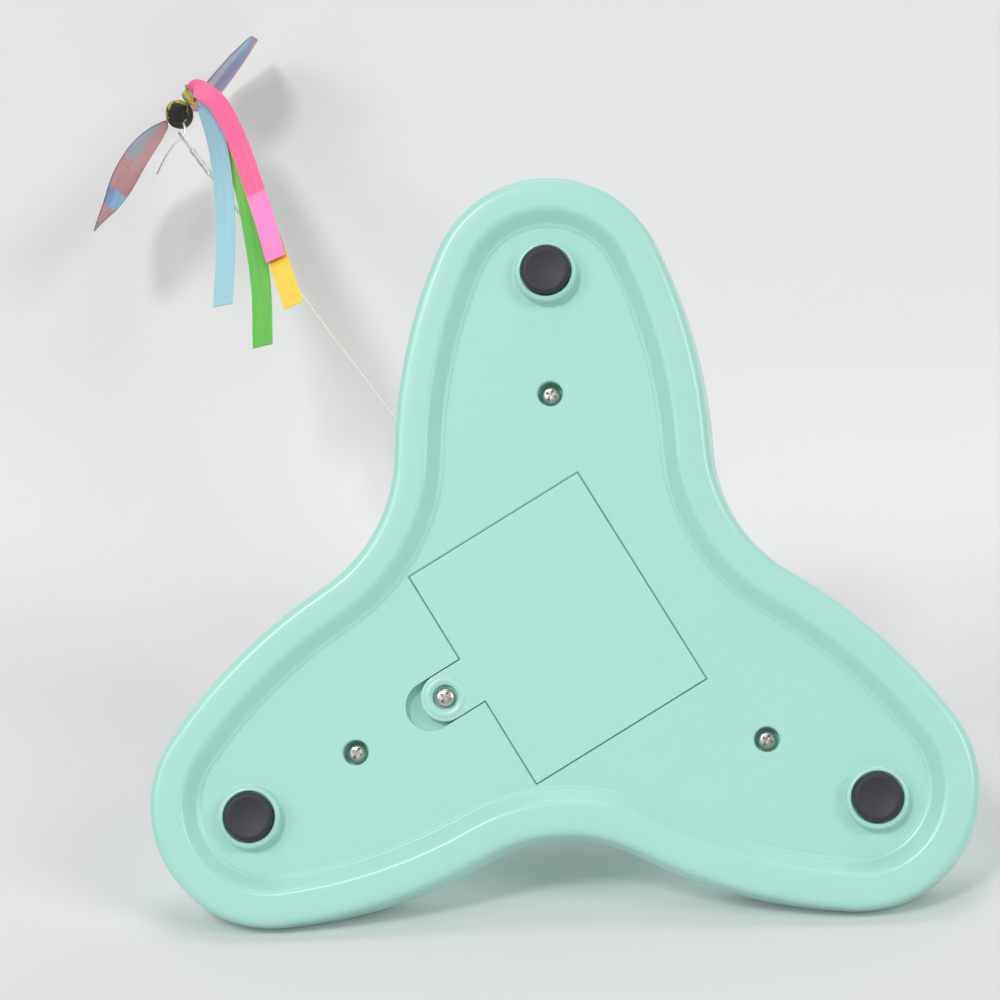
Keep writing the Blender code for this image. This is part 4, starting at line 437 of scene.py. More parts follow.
def scaled(tree, value, factor, start):
    return calc(tree, "MULTIPLY_ADD", value, factor, start)


def clouded(tree, place, scale, detail=2.0, **more):
    """Soft irregular patches."""
    links = {"Vector": place, "Scale": scale, "Detail": detail, **more}
    return add_node(tree, "TexNoise", links).outputs["Fac"]


def moved(tree, value, to_min, to_max, start=0.0, end=1.0, **settings):
    """A value's range, from start to end, brought to another range."""
    links = {"Value": value, "From Min": start, "From Max": end, "To Min": to_min,
             "To Max": to_max}
    return add_node(tree, "MapRange", links, **settings).outputs["Result"]


def blended(tree, factor, first, second):
    links = {"Factor": factor, "A": first, "B": second}
    return add_node(tree, "Mix", links, data_type="RGBA").outputs["Result"]


def shaded(tree, colour, value):
    return add_node(tree, "HueSaturation", {"Value": value, "Color": colour}).outputs["Color"]


def ramp(tree, factor, *stops):
    """A colour ramp of places, each with a colour or a grey."""
    node = add_node(tree, "ValToRGB", {"Fac": factor})
    while len(node.color_ramp.elements) < len(stops):
        node.color_ramp.elements.new(0.5)
    for element, (place, colour) in zip(node.color_ramp.elements, stops):
        element.position = place
        element.color = (*colour, 1.0) if isinstance(colour, tuple) else (*[colour] * 3, 1.0)
    return node.outputs["Color"]


def finish_group(name, inputs):
    """A group with named inputs that puts out a colour, a roughness and a height."""
    group = bpy.data.node_groups.new(name, "ShaderNodeTree")
    for label, value in inputs.items():
        kind = "NodeSocketFloat" if isinstance(value, float) else "NodeSocketColor"
        socket = group.interface.new_socket(name=label, in_out="INPUT", socket_type=kind)
        socket.default_value = value
    for label in ("Colour", "Roughness", "Height"):
        kind = "NodeSocketColor" if label == "Colour" else "NodeSocketFloat"
        group.interface.new_socket(name=label, in_out="OUTPUT", socket_type=kind)
    return group, group.nodes.new("NodeGroupInput").outputs


def end_group(group, colour, roughness, height):
    leave = group.nodes.new("NodeGroupOutput")
    for label, value in (("Colour", colour), ("Roughness", roughness), ("Height", height)):
        group.links.new(value, leave.inputs[label])
    return group


def moulded_group():
    """Fine tool grain, slow thickness clouds and rubbed corners of moulded plastic."""
    group, entry = finish_group("moulded finish", {
        "Colour": (0.5, 0.5, 0.5, 1.0), "Clouds": 0.03, "Rubbed": 0.10, "Roughness": 0.35,
        "Grain scale": 1500.0})
    place = place_on(group)
    around = calc(group, "SUBTRACT", clouded(group, place, 38.0, 3.0, Roughness=0.55), 0.5)
    shift = calc(group, "MULTIPLY", around, entry["Clouds"])
    tinted = shaded(group, entry["Colour"], calc(group, "ADD", shift, 1.0))
    corners = add_node(group, "NewGeometry").outputs["Pointiness"]
    rubbed = calc(group, "MULTIPLY", ramp(group, corners, (0.51, 0.0), (0.60, 1.0)),
                  entry["Rubbed"])
    colour = blended(group, rubbed, tinted, (0.92, 0.97, 0.95, 1.0))
    patches = calc(group, "SUBTRACT", clouded(group, place, 120.0, 4.0), 0.5)
    return end_group(group, colour, scaled(group, patches, 0.05, entry["Roughness"]),
                     clouded(group, place, entry["Grain scale"]))


def metal_group():
    """Drawn or turned metal with small stains that are rougher than the rest."""
    group, entry = finish_group("worn metal", {
        "Colour": (0.6, 0.6, 0.6, 1.0), "Stain": (0.35, 0.33, 0.30, 1.0), "Stained": 0.35,
        "Roughness": 0.30, "Scale": 700.0})
    spots = clouded(group, place_on(group), entry["Scale"], 5.0)
    amount = calc(group, "MULTIPLY", ramp(group, spots, (0.42, 0.0), (0.72, 1.0)),
                  entry["Stained"])
    return end_group(group, blended(group, amount, entry["Colour"], entry["Stain"]),
                     scaled(group, amount, 0.5, entry["Roughness"]), spots)


def weave_group():
    """Satin weave with slow bands of painted sheen, and a place along it where painted light
    changes, as where a ribbon turns to the light.
    """
    group, entry = finish_group("satin weave", {
        "Colour": (0.8, 0.2, 0.4, 1.0), "Painted lit colour": (0.9, 0.5, 0.7, 1.0), "Threads": 28.0,
        "Length": 14.0, "Painted light start": 0.4, "Painted light end": 0.6, "Painted light before": 0.0,
        "Painted light after": 1.0})
    place = place_on(group, "UV")
    parts = directions(group, place)
    waves = []
    for value, count, turns in ((parts["X"], entry["Threads"], math.tau),
                                (parts["Y"], entry["Length"], math.tau * 9)):
        thread = calc(group, "MULTIPLY", value, count)
        waves.append(calc(group, "SINE", calc(group, "MULTIPLY", thread, turns)))
    height = scaled(group, waves[0], 0.6, waves[1])
    # Painted sheen in slow bands, painted light that changes along the ribbon, and raised threads a
    # touch paler as a painted highlight
    sheen_bands = ramp(group, clouded(group, place, 5.0, 3.0, Roughness=0.6), (0.35, 0.0), (0.70, 1.0))
    turn = moved(group, parts["Y"], entry["Painted light before"], entry["Painted light after"],
                 entry["Painted light start"], entry["Painted light end"], interpolation_type="SMOOTHSTEP")
    painted_light_share = scaled(group, sheen_bands, 0.22, turn)
    pale = calc(group, "MULTIPLY_ADD", height, 0.05, painted_light_share, clamp=True)
    return end_group(group, blended(group, pale, entry["Colour"], entry["Painted lit colour"]),
                     scaled(group, sheen_bands, -0.10, 0.48), height)


MOULDED = moulded_group()
METAL = metal_group()
WEAVE = weave_group()


# Finishes

def start_material(name):
    material = bpy.data.materials.new(name)
    material.use_nodes = True
    tree = material.node_tree
    return material, tree, tree.nodes["Principled BSDF"]


def feed(tree, shader, colour, roughness, height, strength, distance):
    """The varying colour, roughness and height reach the shader."""
    links = {"Height": height, "Strength": strength, "Distance": distance}
    relief = add_node(tree, "Bump", links).outputs["Normal"]
    for label, value in (("Base Color", colour), ("Roughness", roughness), ("Normal", relief)):
        tree.links.new(value, shader.inputs[label])


def grouped_material(name, group_tree, values, strength, distance, **constants):
    """A material on one of the shared groups, with its constants on the shader itself."""
    material, tree, shader = start_material(name)
    group = add_node(tree, "Group", values, node_tree=group_tree).outputs
    feed(tree, shader, group["Colour"], group["Roughness"], group["Height"], strength, distance)
    for key, value in constants.items():
        shader.inputs[key.replace("_", " ")].default_value = value
    return material


def moulded_plastic(name, colour, roughness, clouds=0.04, rubbed=0.10, grain=1500.0, bump=0.12,
                    coat=0.0, depth=0.0):
    values = {"Colour": (*colour, 1.0), "Clouds": clouds, "Rubbed": rubbed,
              "Roughness": roughness, "Grain scale": grain}
    return grouped_material(name, MOULDED, values, bump, 0.00002, Coat_Weight=coat,
                            Coat_Roughness=0.16, Subsurface_Weight=depth,
                            Subsurface_Radius=(0.25, 1.0, 0.8), Subsurface_Scale=0.003)


def metal_finish(name, colour, stain, roughness, stained=0.35):
    values = {"Colour": (*colour, 1.0), "Stain": (*stain, 1.0), "Stained": stained,
              "Roughness": roughness, "Scale": 700.0}
    return grouped_material(name, METAL, values, 0.08, 0.00002, Metallic=1.0)


def satin_ribbon(name, colour, pale, length, turn, shades):
    # pale is the painted lit colour; turn and shades place the painted change of light along the
    # ribbon, and set its amount before and after
    values = {"Colour": (*colour, 1.0), "Painted lit colour": (*pale, 1.0), "Length": length / RIBBON_WIDTH,
              "Painted light start": turn[0], "Painted light end": turn[1], "Painted light before": shades[0],
              "Painted light after": shades[1]}
    return grouped_material(name, WEAVE, values, 0.25, 0.00003, Sheen_Weight=0.15,
                            Sheen_Roughness=0.35)


mint = moulded_plastic("mint moulded plastic", (0.415, 0.755, 0.665), 0.30, clouds=0.03,
                       rubbed=0.02, coat=0.15, depth=0.30)
rubber = moulded_plastic("dark moulded rubber", (0.023, 0.026, 0.031), 0.52, clouds=0.30,
                         rubbed=0.0, grain=2600.0, bump=0.35)
nylon = moulded_plastic("natural nylon", (0.82, 0.80, 0.74), 0.45, clouds=0.06)
box_grey = moulded_plastic("gearbox grey plastic", (0.75, 0.76, 0.76), 0.50)
switch_black = moulded_plastic("switch black plastic", (0.04, 0.04, 0.045), 0.45)
knob_white = moulded_plastic("knob white plastic", (0.80, 0.81, 0.80), 0.34, clouds=0.05)
board_green = moulded_plastic("board laminate", (0.05, 0.25, 0.10), 0.35, clouds=0.25,
                              grain=3000.0)
red_lead = moulded_plastic("red lead sleeve", (0.60, 0.04, 0.03), 0.42)
black_lead = moulded_plastic("black lead sleeve", (0.03, 0.03, 0.03), 0.42)
cell_jacket = moulded_plastic("plain cell jacket", (0.05, 0.09, 0.21), 0.28, clouds=0.10, coat=0.4)
screw_zinc = metal_finish("zinc plated screw", (0.66, 0.64, 0.61), (0.33, 0.30, 0.26), 0.26)
drawn_wire = metal_finish("drawn spring wire", (0.92, 0.91, 0.90), (0.70, 0.69, 0.68), 0.45, 0.25)
can_steel = metal_finish("rolled can steel", (0.55, 0.55, 0.56), (0.38, 0.37, 0.36), 0.34)
pressed_tin = metal_finish("pressed tin sleeve", (0.88, 0.86, 0.83), (0.60, 0.58, 0.55), 0.50, 0.30)
nickel = metal_finish("nickel plated strip", (0.72, 0.69, 0.62), (0.50, 0.46, 0.40), 0.22, 0.20)


def foam_black():
    """Dull black foam with open cells and a few yellow patches on its outer upper side."""
    material, tree, shader = start_material("black foam body")
    place = place_on(tree)
    parts = directions(tree, place)
    middle = SWING @ BODY_PLACE
    line = middle.x + middle.y
    upper = moved(tree, calc(tree, "ADD", parts["X"], parts["Y"]), -0.16, 0.11, line - 0.004,
                  line + 0.005)
    black = (0.018, 0.018, 0.018)
    colours = ramp(tree, calc(tree, "ADD", clouded(tree, place, 210.0), upper), (0.0, black),
                   (0.535, black), (0.555, (0.66, 0.46, 0.04)), (0.66, (0.40, 0.46, 0.08)))
    cells = add_node(tree, "TexVoronoi", {"Vector": place, "Scale": 1500.0}).outputs["Distance"]
    colour = shaded(tree, colours, moved(tree, cells, 1.25, 0.7, 0.0, 0.6))
    feed(tree, shader, colour, moved(tree, cells, 0.60, 0.85), cells, 0.5, 0.0002)
    return material


def wound_cord(name, colour, pale):
    """Twisted cord for the knot's turns, its strands running aslant, with painted light on their
    raised crowns and painted shade in the grooves.
    """
    material, tree, shader = start_material(name)
    strands = add_node(tree, "TexWave", {"Vector": place_on(tree), "Scale": 900.0,
                                         "Distortion": 1.5}, bands_direction="DIAGONAL")
    strands = strands.outputs["Fac"]
    # The raised strands take the pale colour and the grooves the dark one: painted light and
    # painted shade
    feed(tree, shader, ramp(tree, strands, (0.2, colour), (0.9, pale)),
         moved(tree, strands, 0.55, 0.75), strands, 0.5, 0.0001)
    return material


def wing_print(name, turn, band, reach, shades):
    """Printed film: colour fields along the wing, a blue band, dark veins and a dark tip."""
    material, tree, shader = start_material(name)
    place = place_on(tree, "UV")
    parts = directions(tree, place)
    along, across = parts["X"], parts["Y"]
    blur = clouded(tree, place, 3.4 + turn, 3.0)
    wobble = scaled(tree, blur, 0.30, across)
    outer = moved(tree, along, 0.0, reach, 0.34, 0.60, interpolation_type="SMOOTHSTEP")
    fields = ramp(tree, calc(tree, "ADD", wobble, outer), (0.10, (0.42, 0.46, 0.52)),
                  (0.42, (0.34, 0.38, 0.48)), (0.52, (0.40, 0.36, 0.42)),
                  (0.60, (0.58, 0.25, 0.25)), (0.85, (0.60, 0.22, 0.22)),
                  (1.00, (0.52, 0.17, 0.20)))
    slant = scaled(tree, blur, 0.08, scaled(tree, across, 0.22, along))
    start, end = band
    fade = 0.03
    stripe = ramp(tree, slant, (start, 0.0), (start + fade, 1.0), (end, 1.0), (end + fade, 0.0))
    blues = ramp(tree, wobble, *zip((0.30, 0.55, 0.72, 1.00), shades))
    angle = calc(tree, "ARCTAN2", calc(tree, "SUBTRACT", across, 0.5), along)
    fan = calc(tree, "SINE", calc(tree, "MULTIPLY", angle, 9.0 + turn))
    veins = calc(tree, "ABSOLUTE", fan)
    margin = add_node(tree, "Attribute", attribute_name="margin").outputs["Fac"]
    edge = ramp(tree, margin, (0.93, 0.0), (0.98, 1.0))
    tip = ramp(tree, along, (0.90, 0.0), (0.95, 1.0))
    lines = calc(tree, "MAXIMUM", ramp(tree, veins, (0.02, 1.0), (0.09, 0.0)), edge)
    dark = calc(tree, "MULTIPLY", calc(tree, "MAXIMUM", lines, tip), 0.55)
    colour = blended(tree, dark, blended(tree, stripe, fields, blues), (0.08, 0.07, 0.10, 1.0))
    feed(tree, shader, colour, moved(tree, blur, 0.30, 0.50), veins, 0.2, 0.0002)
    return material


# Outline of the base

def half_lobe(inset):
    """Points from a lobe's tip to the valley beside it, set in from the edge."""
    end = Vector((LOBE_REACH - LOBE_END_RADIUS, 0.0))
    half_turn = math.radians(60)
    valley = polar(VALLEY_REACH + VALLEY_RADIUS, half_turn)
    leaving = polar(1.0, LOBE_END_SWEEP)
    joint = end + LOBE_END_RADIUS * leaving
    apart = joint - valley
    shoulder_radius = (apart.length_squared - VALLEY_RADIUS ** 2) / (
        2 * (VALLEY_RADIUS + apart.dot(leaving)))
    shoulder = joint - shoulder_radius * leaving
    towards = valley - shoulder
    meeting = math.atan2(towards.y, towards.x)
    points = [end + polar(LOBE_END_RADIUS - inset, LOBE_END_SWEEP * k / END_STEPS)
              for k in range(END_STEPS)]
    for k in range(SHOULDER_STEPS):
        angle = LOBE_END_SWEEP + (meeting - LOBE_END_SWEEP) * k / SHOULDER_STEPS
        points.append(shoulder + polar(shoulder_radius - inset, angle))
    for k in range(VALLEY_STEPS + 1):
        angle = meeting + (half_turn - meeting) * k / VALLEY_STEPS
        points.append(valley - polar(VALLEY_RADIUS + inset, angle))
    return points


def lobed_outline(inset):
    half = half_lobe(inset)
    mirrored = [Vector((point.x, -point.y)) for point in half[:0:-1]]
    points = []
    for angle in LOBE_ANGLES:
        spin = Matrix.Rotation(angle, 2)
        points.extend(spin @ point for point in mirrored[1:] + half)
    return points


def lobed_ring(inset, height):
    return [Vector((point.x, point.y, height)) for point in lobed_outline(inset)]


def arm_ring(inset, radius, share, height):
    """A ring part of the way from the lobed outline to the dome's circle."""
    ring = []
    for point in lobed_outline(inset):
        between = point.lerp(radius * point.normalized(), share)
        ring.append(Vector((between.x, between.y, height)))
    return ring


def on_lobes(radius):
    return [polar(radius, angle) for angle in LOBE_ANGLES]


def cover_point(along, across):
    return Matrix.Rotation(COVER_ANGLE, 2) @ Vector((along, across))


TAB_CENTRE = cover_point(TAB_REACH, 0.0)


def tab_outline(half_width, reach, start, sides=28):
    """The tab with its round end, in the toy's own directions."""
    points = [cover_point(start, -half_width)]
    for k in range(sides + 1):
        angle = math.pi * (k / sides - 0.5)
        points.append(cover_point(reach + half_width * math.cos(angle),
                                  half_width * math.sin(angle)))
    points.append(cover_point(start, half_width))
    return points


def cover_box(low, high):
    return box_between("tool", low, high, COVER_ANGLE)


def bay_block(half, low, high):
    """A block round the middle of the battery bay."""
    return cover_box((-half[0], -half[1], low), (*half, high))


# Base tray

def step_profile(shift, lift):
    """Inset and height from the flat panel over a fine bead and up the cove to the rim."""
    return [(RIM_WIDTH + STEP_WIDTH * across - shift, lift - RIM_DROP * rise)
            for across, rise in STEP_SHAPE]


def tray_profile():
    """From the flat panel over the rim, up the side, and back inside."""
    rim_seat = -RIM_DROP - 0.00002
    stations = [(RIM_WIDTH + STEP_WIDTH + 0.0012, 0.0), *step_profile(0.0, 0.0),
                (RIM_WIDTH - 0.0003, rim_seat), (0.0046, rim_seat)]
    edge = TRAY_DRAFT + RIM_EDGE_RADIUS
    stations += [(edge - RIM_EDGE_RADIUS * sine, -RIM_DROP + RIM_EDGE_RADIUS * (1 - cosine))
                 for sine, cosine in quarter(8)]
    tongue_top = PARTING_HEIGHT + TONGUE_HEIGHT
    wall = WALL + TRAY_DRAFT
    fillet = 0.001
    stations += [(0.0, PARTING_HEIGHT - SOFT_EDGE),
                 (SOFT_EDGE / 4, PARTING_HEIGHT - SOFT_EDGE / 3), (SOFT_EDGE, PARTING_HEIGHT),
                 (LIP_STEP, PARTING_HEIGHT), (LIP_STEP, tongue_top), (WALL, tongue_top),
                 (wall, -RIM_DROP + WALL + fillet), (wall + fillet, -RIM_DROP + WALL)]
    stations += reversed(step_profile(0.0008, WALL))
    return [lobed_ring(inset, height) for inset, height in stations]


def foot_cup(centre):
    """The raised ring round a rubber foot, with a flared root and a rounded lip."""
    profile = [(0.0115, 0.0006), (0.0115, 0.0003), (0.0084, 0.0)]
    profile += [(CUP_FOOT_RADIUS + CUP_FLARE * (1 - sine), -CUP_FLARE * (1 - cosine) + 0.00001)
                for sine, cosine in quarter(6)]
    profile += [(CUP_RADIUS - CUP_LIP * (1 - cosine), -CUP_DROP + CUP_LIP * (1 - sine))
                for sine, cosine in quarter(6)]
    return turned("tool", [*profile, (0.0060, -CUP_DROP)], centre, 72)


def well(radius, low, high, centre, flare):
    """A round cutter with a small flare where it meets the panel."""
    profile = [(radius + flare, low - PAST), (radius + flare, low),
               (radius + flare * 0.4, low + flare * 0.35), (radius, low + flare), (radius, high)]
    return turned("tool", profile, centre, 48)


def soft_opening(half, depth):
    """A cutter for the battery opening: a softened edge, and a step that closes in on the door."""
    flare, tight = 0.00030, -0.00012
    rings = []
    for grow, height in ((flare, -PAST), (flare, -0.00001), (0.0, flare), (0.0, 0.0006),
                         (tight, 0.0007), (tight, depth)):
        reach = (half[0] + grow, half[1] + grow)
        rings.append([Vector((*cover_point(along * reach[0], across * reach[1]), height))
                      for along, across in ((-1, -1), (1, -1), (1, 1), (-1, 1))])
    return loft("tool", rings)


def make_tray():
    """The lower shell with its cups, screw wells, battery bay, opening and pocket for the tab."""
    tray = loft("base_tray_shell", tray_profile())
    feet, screws = on_lobes(FOOT_RING), on_lobes(SCREW_RING)
    opening = (COVER_WIDTH / 2 + SEAM_GAP, COVER_LENGTH / 2 + SEAM_GAP)
    bay = (BAY_WIDTH / 2, BAY_LENGTH / 2)
    ledge = COVER_THICKNESS + FIT_GAP
    pocket_half = TAB_WIDTH / 2 + SEAM_GAP
    pocket_reach = TAB_REACH + FINGER_NOTCH
    pocket_start = COVER_WIDTH / 2 - 0.002
    pocket_wall = 0.0015
    frame_top, bay_low, cavity_low = 0.004, 0.0034, ledge - 0.0006
    tab_boss, tab_hole, case_hole = (0.00375, 0.0082), (0.002, 0.0076), (0.0035, 0.0105)
    add_on(tray, *[foot_cup(centre) for centre in feet])
    add_on(tray, *[post(BOSS_RADIUS, PAST, PARTING_HEIGHT - 0.0007, centre, 32)
                   for centre in screws])
    add_on(tray, bay_block([side + BAY_WALL for side in opening], PAST, frame_top))
    add_on(tray, bay_block([side + BAY_WALL for side in bay], bay_low, BAY_HEIGHT + BAY_WALL))
    add_on(tray, slab("tool", tab_outline(pocket_half + pocket_wall, pocket_reach,
                                          COVER_WIDTH / 2), PAST, POCKET_DEPTH + pocket_wall))
    add_on(tray, post(TAB_BOSS_RADIUS, *tab_boss, TAB_CENTRE, 32))
    seat = [(0.00628, -0.0050), (0.00628, -0.0037), (0.00614, -0.0035), (0.00612, -0.0024)]
    carve(tray, *[turned("tool", seat, centre) for centre in feet])
    carve(tray, *[well(COUNTERBORE_RADIUS, 0.0, COUNTERBORE_DEPTH, centre, SOFT_EDGE)
                  for centre in screws])
    carve(tray, *[post(SHANK_RADIUS + FIT_GAP, *case_hole, centre) for centre in screws])
    carve(tray, soft_opening(opening, ledge))
    carve(tray, bay_block(bay, cavity_low, BAY_HEIGHT))
    carve(tray, slab("tool", tab_outline(pocket_half, pocket_reach, pocket_start), -PAST,
                     POCKET_DEPTH))
    carve(tray, post(SHANK_RADIUS + SEAM_GAP, *tab_hole, TAB_CENTRE))
    slots, tails = [], []
    slot_half = HOOK_WIDTH / 2 + 0.00035
    slot_ends = (-COVER_WIDTH / 2 - 0.0035, -BAY_WIDTH / 2 + 0.001)
    slot_low, slot_top = 0.0023, 0.0048
    tail_half, tail_top = (0.0016, 0.0005), BAY_HEIGHT + 0.0025
    for side in (-1, 1):
        middle = side * HOOK_PLACE
        slots.append(cover_box((slot_ends[0], middle - slot_half, slot_low),
                               (slot_ends[1], middle + slot_half, slot_top)))
        along, across = side * CELL_PITCH, side * (BAY_LENGTH / 2 - 0.0007)
        tails.append(cover_box((along - tail_half[0], across - tail_half[1], BAY_HEIGHT - PAST),
                               (along + tail_half[0], across + tail_half[1], tail_top)))
    carve(tray, *slots)
    carve(tray, *tails)
    smooth(tray, 30, weighted=True)
    put(tray, mint, "base", "mint_plastic", "base_tray")


# Upper shell

def dome_ring(angle, inward):
    radius = (DOME_FOOT_RADIUS - inward) * math.sqrt(math.cos(angle))
    rise = (DOME_TOP - inward - DOME_FOOT_HEIGHT) * math.sqrt(math.sin(angle))
    return arm_ring(0.0, radius, 1.0, DOME_FOOT_HEIGHT + rise)


def shell_face(inward):
    """Rings of the shell's face, from the top of its side over arms and dome to the hole."""
    rings = []
    for sine, cosine in quarter(8):
        inset = SHELL_DRAFT + (DECK_INSET - SHELL_DRAFT) * (1 - cosine)
        height = SHELL_SIDE_TOP + (DECK_HEIGHT - SHELL_SIDE_TOP) * sine
        rings.append(lobed_ring(inset + inward, height - inward))
    foot = DOME_FOOT_RADIUS - inward
    arm_steps, dome_steps = 12, 20
    for k in range(1, arm_steps):
        share = k / arm_steps
        rings.append(arm_ring(DECK_INSET + inward, foot, share,
                              DECK_HEIGHT + ARM_RISE * share ** 2 - inward))
    rings.append(arm_ring(0.0, foot, 1.0, DOME_FOOT_HEIGHT - inward * 0.6))
    for k in range(1, dome_steps):
        rings.append(dome_ring(math.pi / 2 * (k / dome_steps) ** 1.4, inward))
    for radius in (TOP_HOLE_RADIUS + 0.0012, TOP_HOLE_RADIUS):
        rings.append(arm_ring(0.0, radius, 1.0, DOME_TOP - inward))
    return rings


def make_shell():
    """Arms, dome and skirt in one skin, with the switch's slot; gives the slot's height."""
    lip = PARTING_HEIGHT + FIT_GAP
    skirt_top = lip + TONGUE_HEIGHT
    skirt = LIP_STEP - FIT_GAP
    rings = [lobed_ring(SOFT_EDGE, lip), lobed_ring(SOFT_EDGE / 4, lip + SOFT_EDGE / 4),
             lobed_ring(0.0, lip + SOFT_EDGE), *shell_face(0.0), *shell_face(WALL)[::-1][:-1],
             lobed_ring(WALL + SHELL_DRAFT, skirt_top + 0.0006), lobed_ring(skirt, skirt_top),
             lobed_ring(skirt, lip)]
    shell = loft("upper_shell_moulding", rings, closed=True)
    size = (KNOB_WIDTH / 2 + SEAM_GAP, (KNOB_LENGTH + SWITCH_TRAVEL) / 2 + SEAM_GAP)
    arm_end = LOBE_REACH - DECK_INSET
    share = (arm_end - SWITCH_REACH) / (arm_end - DOME_FOOT_RADIUS)
    top = DECK_HEIGHT + ARM_RISE * share ** 2
    carve(shell, box_between("tool", (SWITCH_REACH - size[0], -size[1], top - 0.004),
                             (SWITCH_REACH + size[0], size[1], top + 0.002), LOBE_ANGLES[1]))
    smooth(shell, 30, weighted=True)
    put(shell, mint, "base", "mint_plastic", "upper_shell")
    return top


def make_knob(top):
    """The ribbed slide knob, at its rest end of the slot."""
    flange_top = top - WALL - 0.00075
    low, high = flange_top - 0.0012, top + KNOB_RISE
    wide, long = KNOB_FLANGE
    groove = (0.00022, 0.00045)
    knob = box_between("switch_knob_ribbed", (-wide, -long, low), (wide, long, flange_top - 0.0001))
    add_on(knob, box_between("tool", (-KNOB_WIDTH / 2, -KNOB_LENGTH / 2, low + 0.0006),
                             (KNOB_WIDTH / 2, KNOB_LENGTH / 2, high)))
    carve(knob, *[box_between("tool", (-KNOB_WIDTH, across - groove[0], high - groove[1]),
                              (KNOB_WIDTH, across + groove[0], high + PAST))
                  for across in (-0.0011, 0.0, 0.0011)])
    apply_modifier(knob, "BEVEL", width=0.00016, segments=3, limit_method="ANGLE")
    knob.data.transform(Matrix.Rotation(LOBE_ANGLES[1], 4, "Z")
                        @ Matrix.Translation((SWITCH_REACH, -SWITCH_TRAVEL / 2, 0.0)))
    smooth(knob, 40)
    put(knob, knob_white, "switch_knob", "white_plastic", "switch_knob")


# Feet, screws, the battery cover and the cells

def make_feet():
    """Rubber pads with a soft edge and a face dished by a fraction of a millimetre."""
    profile = [(0.0020, PAD_BACK), (PAD_RADIUS, PAD_BACK)]
    profile += [(PAD_RADIUS - PAD_EDGE * (1 - cosine), FLOOR_LEVEL + PAD_EDGE * (1 - sine))
                for sine, cosine in quarter(8)]
    for k in range(9):
        reach = PAD_DISH_RADIUS * (1 - k / 8.4)
        profile.append((reach, FLOOR_LEVEL + PAD_DISH * (1 - (reach / PAD_DISH_RADIUS) ** 2)))
    for number, centre in enumerate(on_lobes(FOOT_RING), start=1):
        foot = turned(f"foot_pad_{number}", profile, centre, 72)
        smooth(foot, 40)
        put(foot, rubber, "base", "dark_rubber", f"rubber_foot_{number}")


def cross_cutter(face, way, centre):
    """A tapered cross recess in a screw head's face."""
    long, short, deep, slant = 0.00145, 0.00033, 0.0008, 0.5
    place = Matrix.Translation((centre[0], centre[1], 0.0))
    rings = []
    for grow, height in ((1.0, -way * 0.0004), (1.0, 0.0), (0.55, way * deep)):
        ring = []
        for k in range(4):
            spin = Matrix.Rotation(math.pi / 2 * k + slant, 2)
            for corner in ((long, -short), (long, short), (short, short)):
                x, y = spin @ (grow * Vector(corner))
                ring.append(place @ Vector((x, y, face + height)))
        rings.append(ring)
    return loft("tool", rings)


def make_screw(name, centre, seat, way, sizes, body, node):
    """A pan head with a soft edge and a cross, over its threaded shank."""
    head, height, shank, length = sizes
    pitch = 0.0009
    profile = [(shank * 0.4, seat + way * length), (shank, seat + way * (length - shank))]
    turns = int(length / pitch)
    for k in range(1, turns):
        level = seat + way * (length - shank) * (1 - k / turns)
        profile += [(shank, level + way * 0.00022), (shank * 0.78, level + way * 0.00004)]
    profile += [(shank, seat + way * 0.0002), (shank, seat), (head, seat),
                (head, seat - way * height * 0.35)]
    profile += [(head - 0.45 * head * (1 - cosine), seat - way * height * (0.35 + 0.65 * sine))
                for sine, cosine in quarter(7, first=1)]
    screw = turned(name, profile, centre, 48)
    carve(screw, cross_cutter(seat - way * height, way, centre))
    smooth(screw, 35)
    put(screw, screw_zinc, body, "screw_steel", node)


def make_screws():
    """Each with its head's radius and height, and its shank's radius and length."""
    for number, centre in enumerate(on_lobes(SCREW_RING), start=1):
        make_screw(f"case_screw_{number}_pan", centre, COUNTERBORE_DEPTH - FIT_GAP, 1,
                   (0.0023, 0.0016, 0.0013, 0.0120), "base", f"case_screw_{number}")
    make_screw("cover_screw_pan", TAB_CENTRE, 0.0014, 1, (0.0023, 0.0013, 0.0013, 0.0043),
               "battery_cover", "battery_cover_screw")
    make_screw("cap_screw_pan", (0.0, 0.0), CAP_TOP - 0.0017, -1,
               (0.0026, 0.0014, 0.0010, 0.0059), "rotor", "rotor_cap_screw")


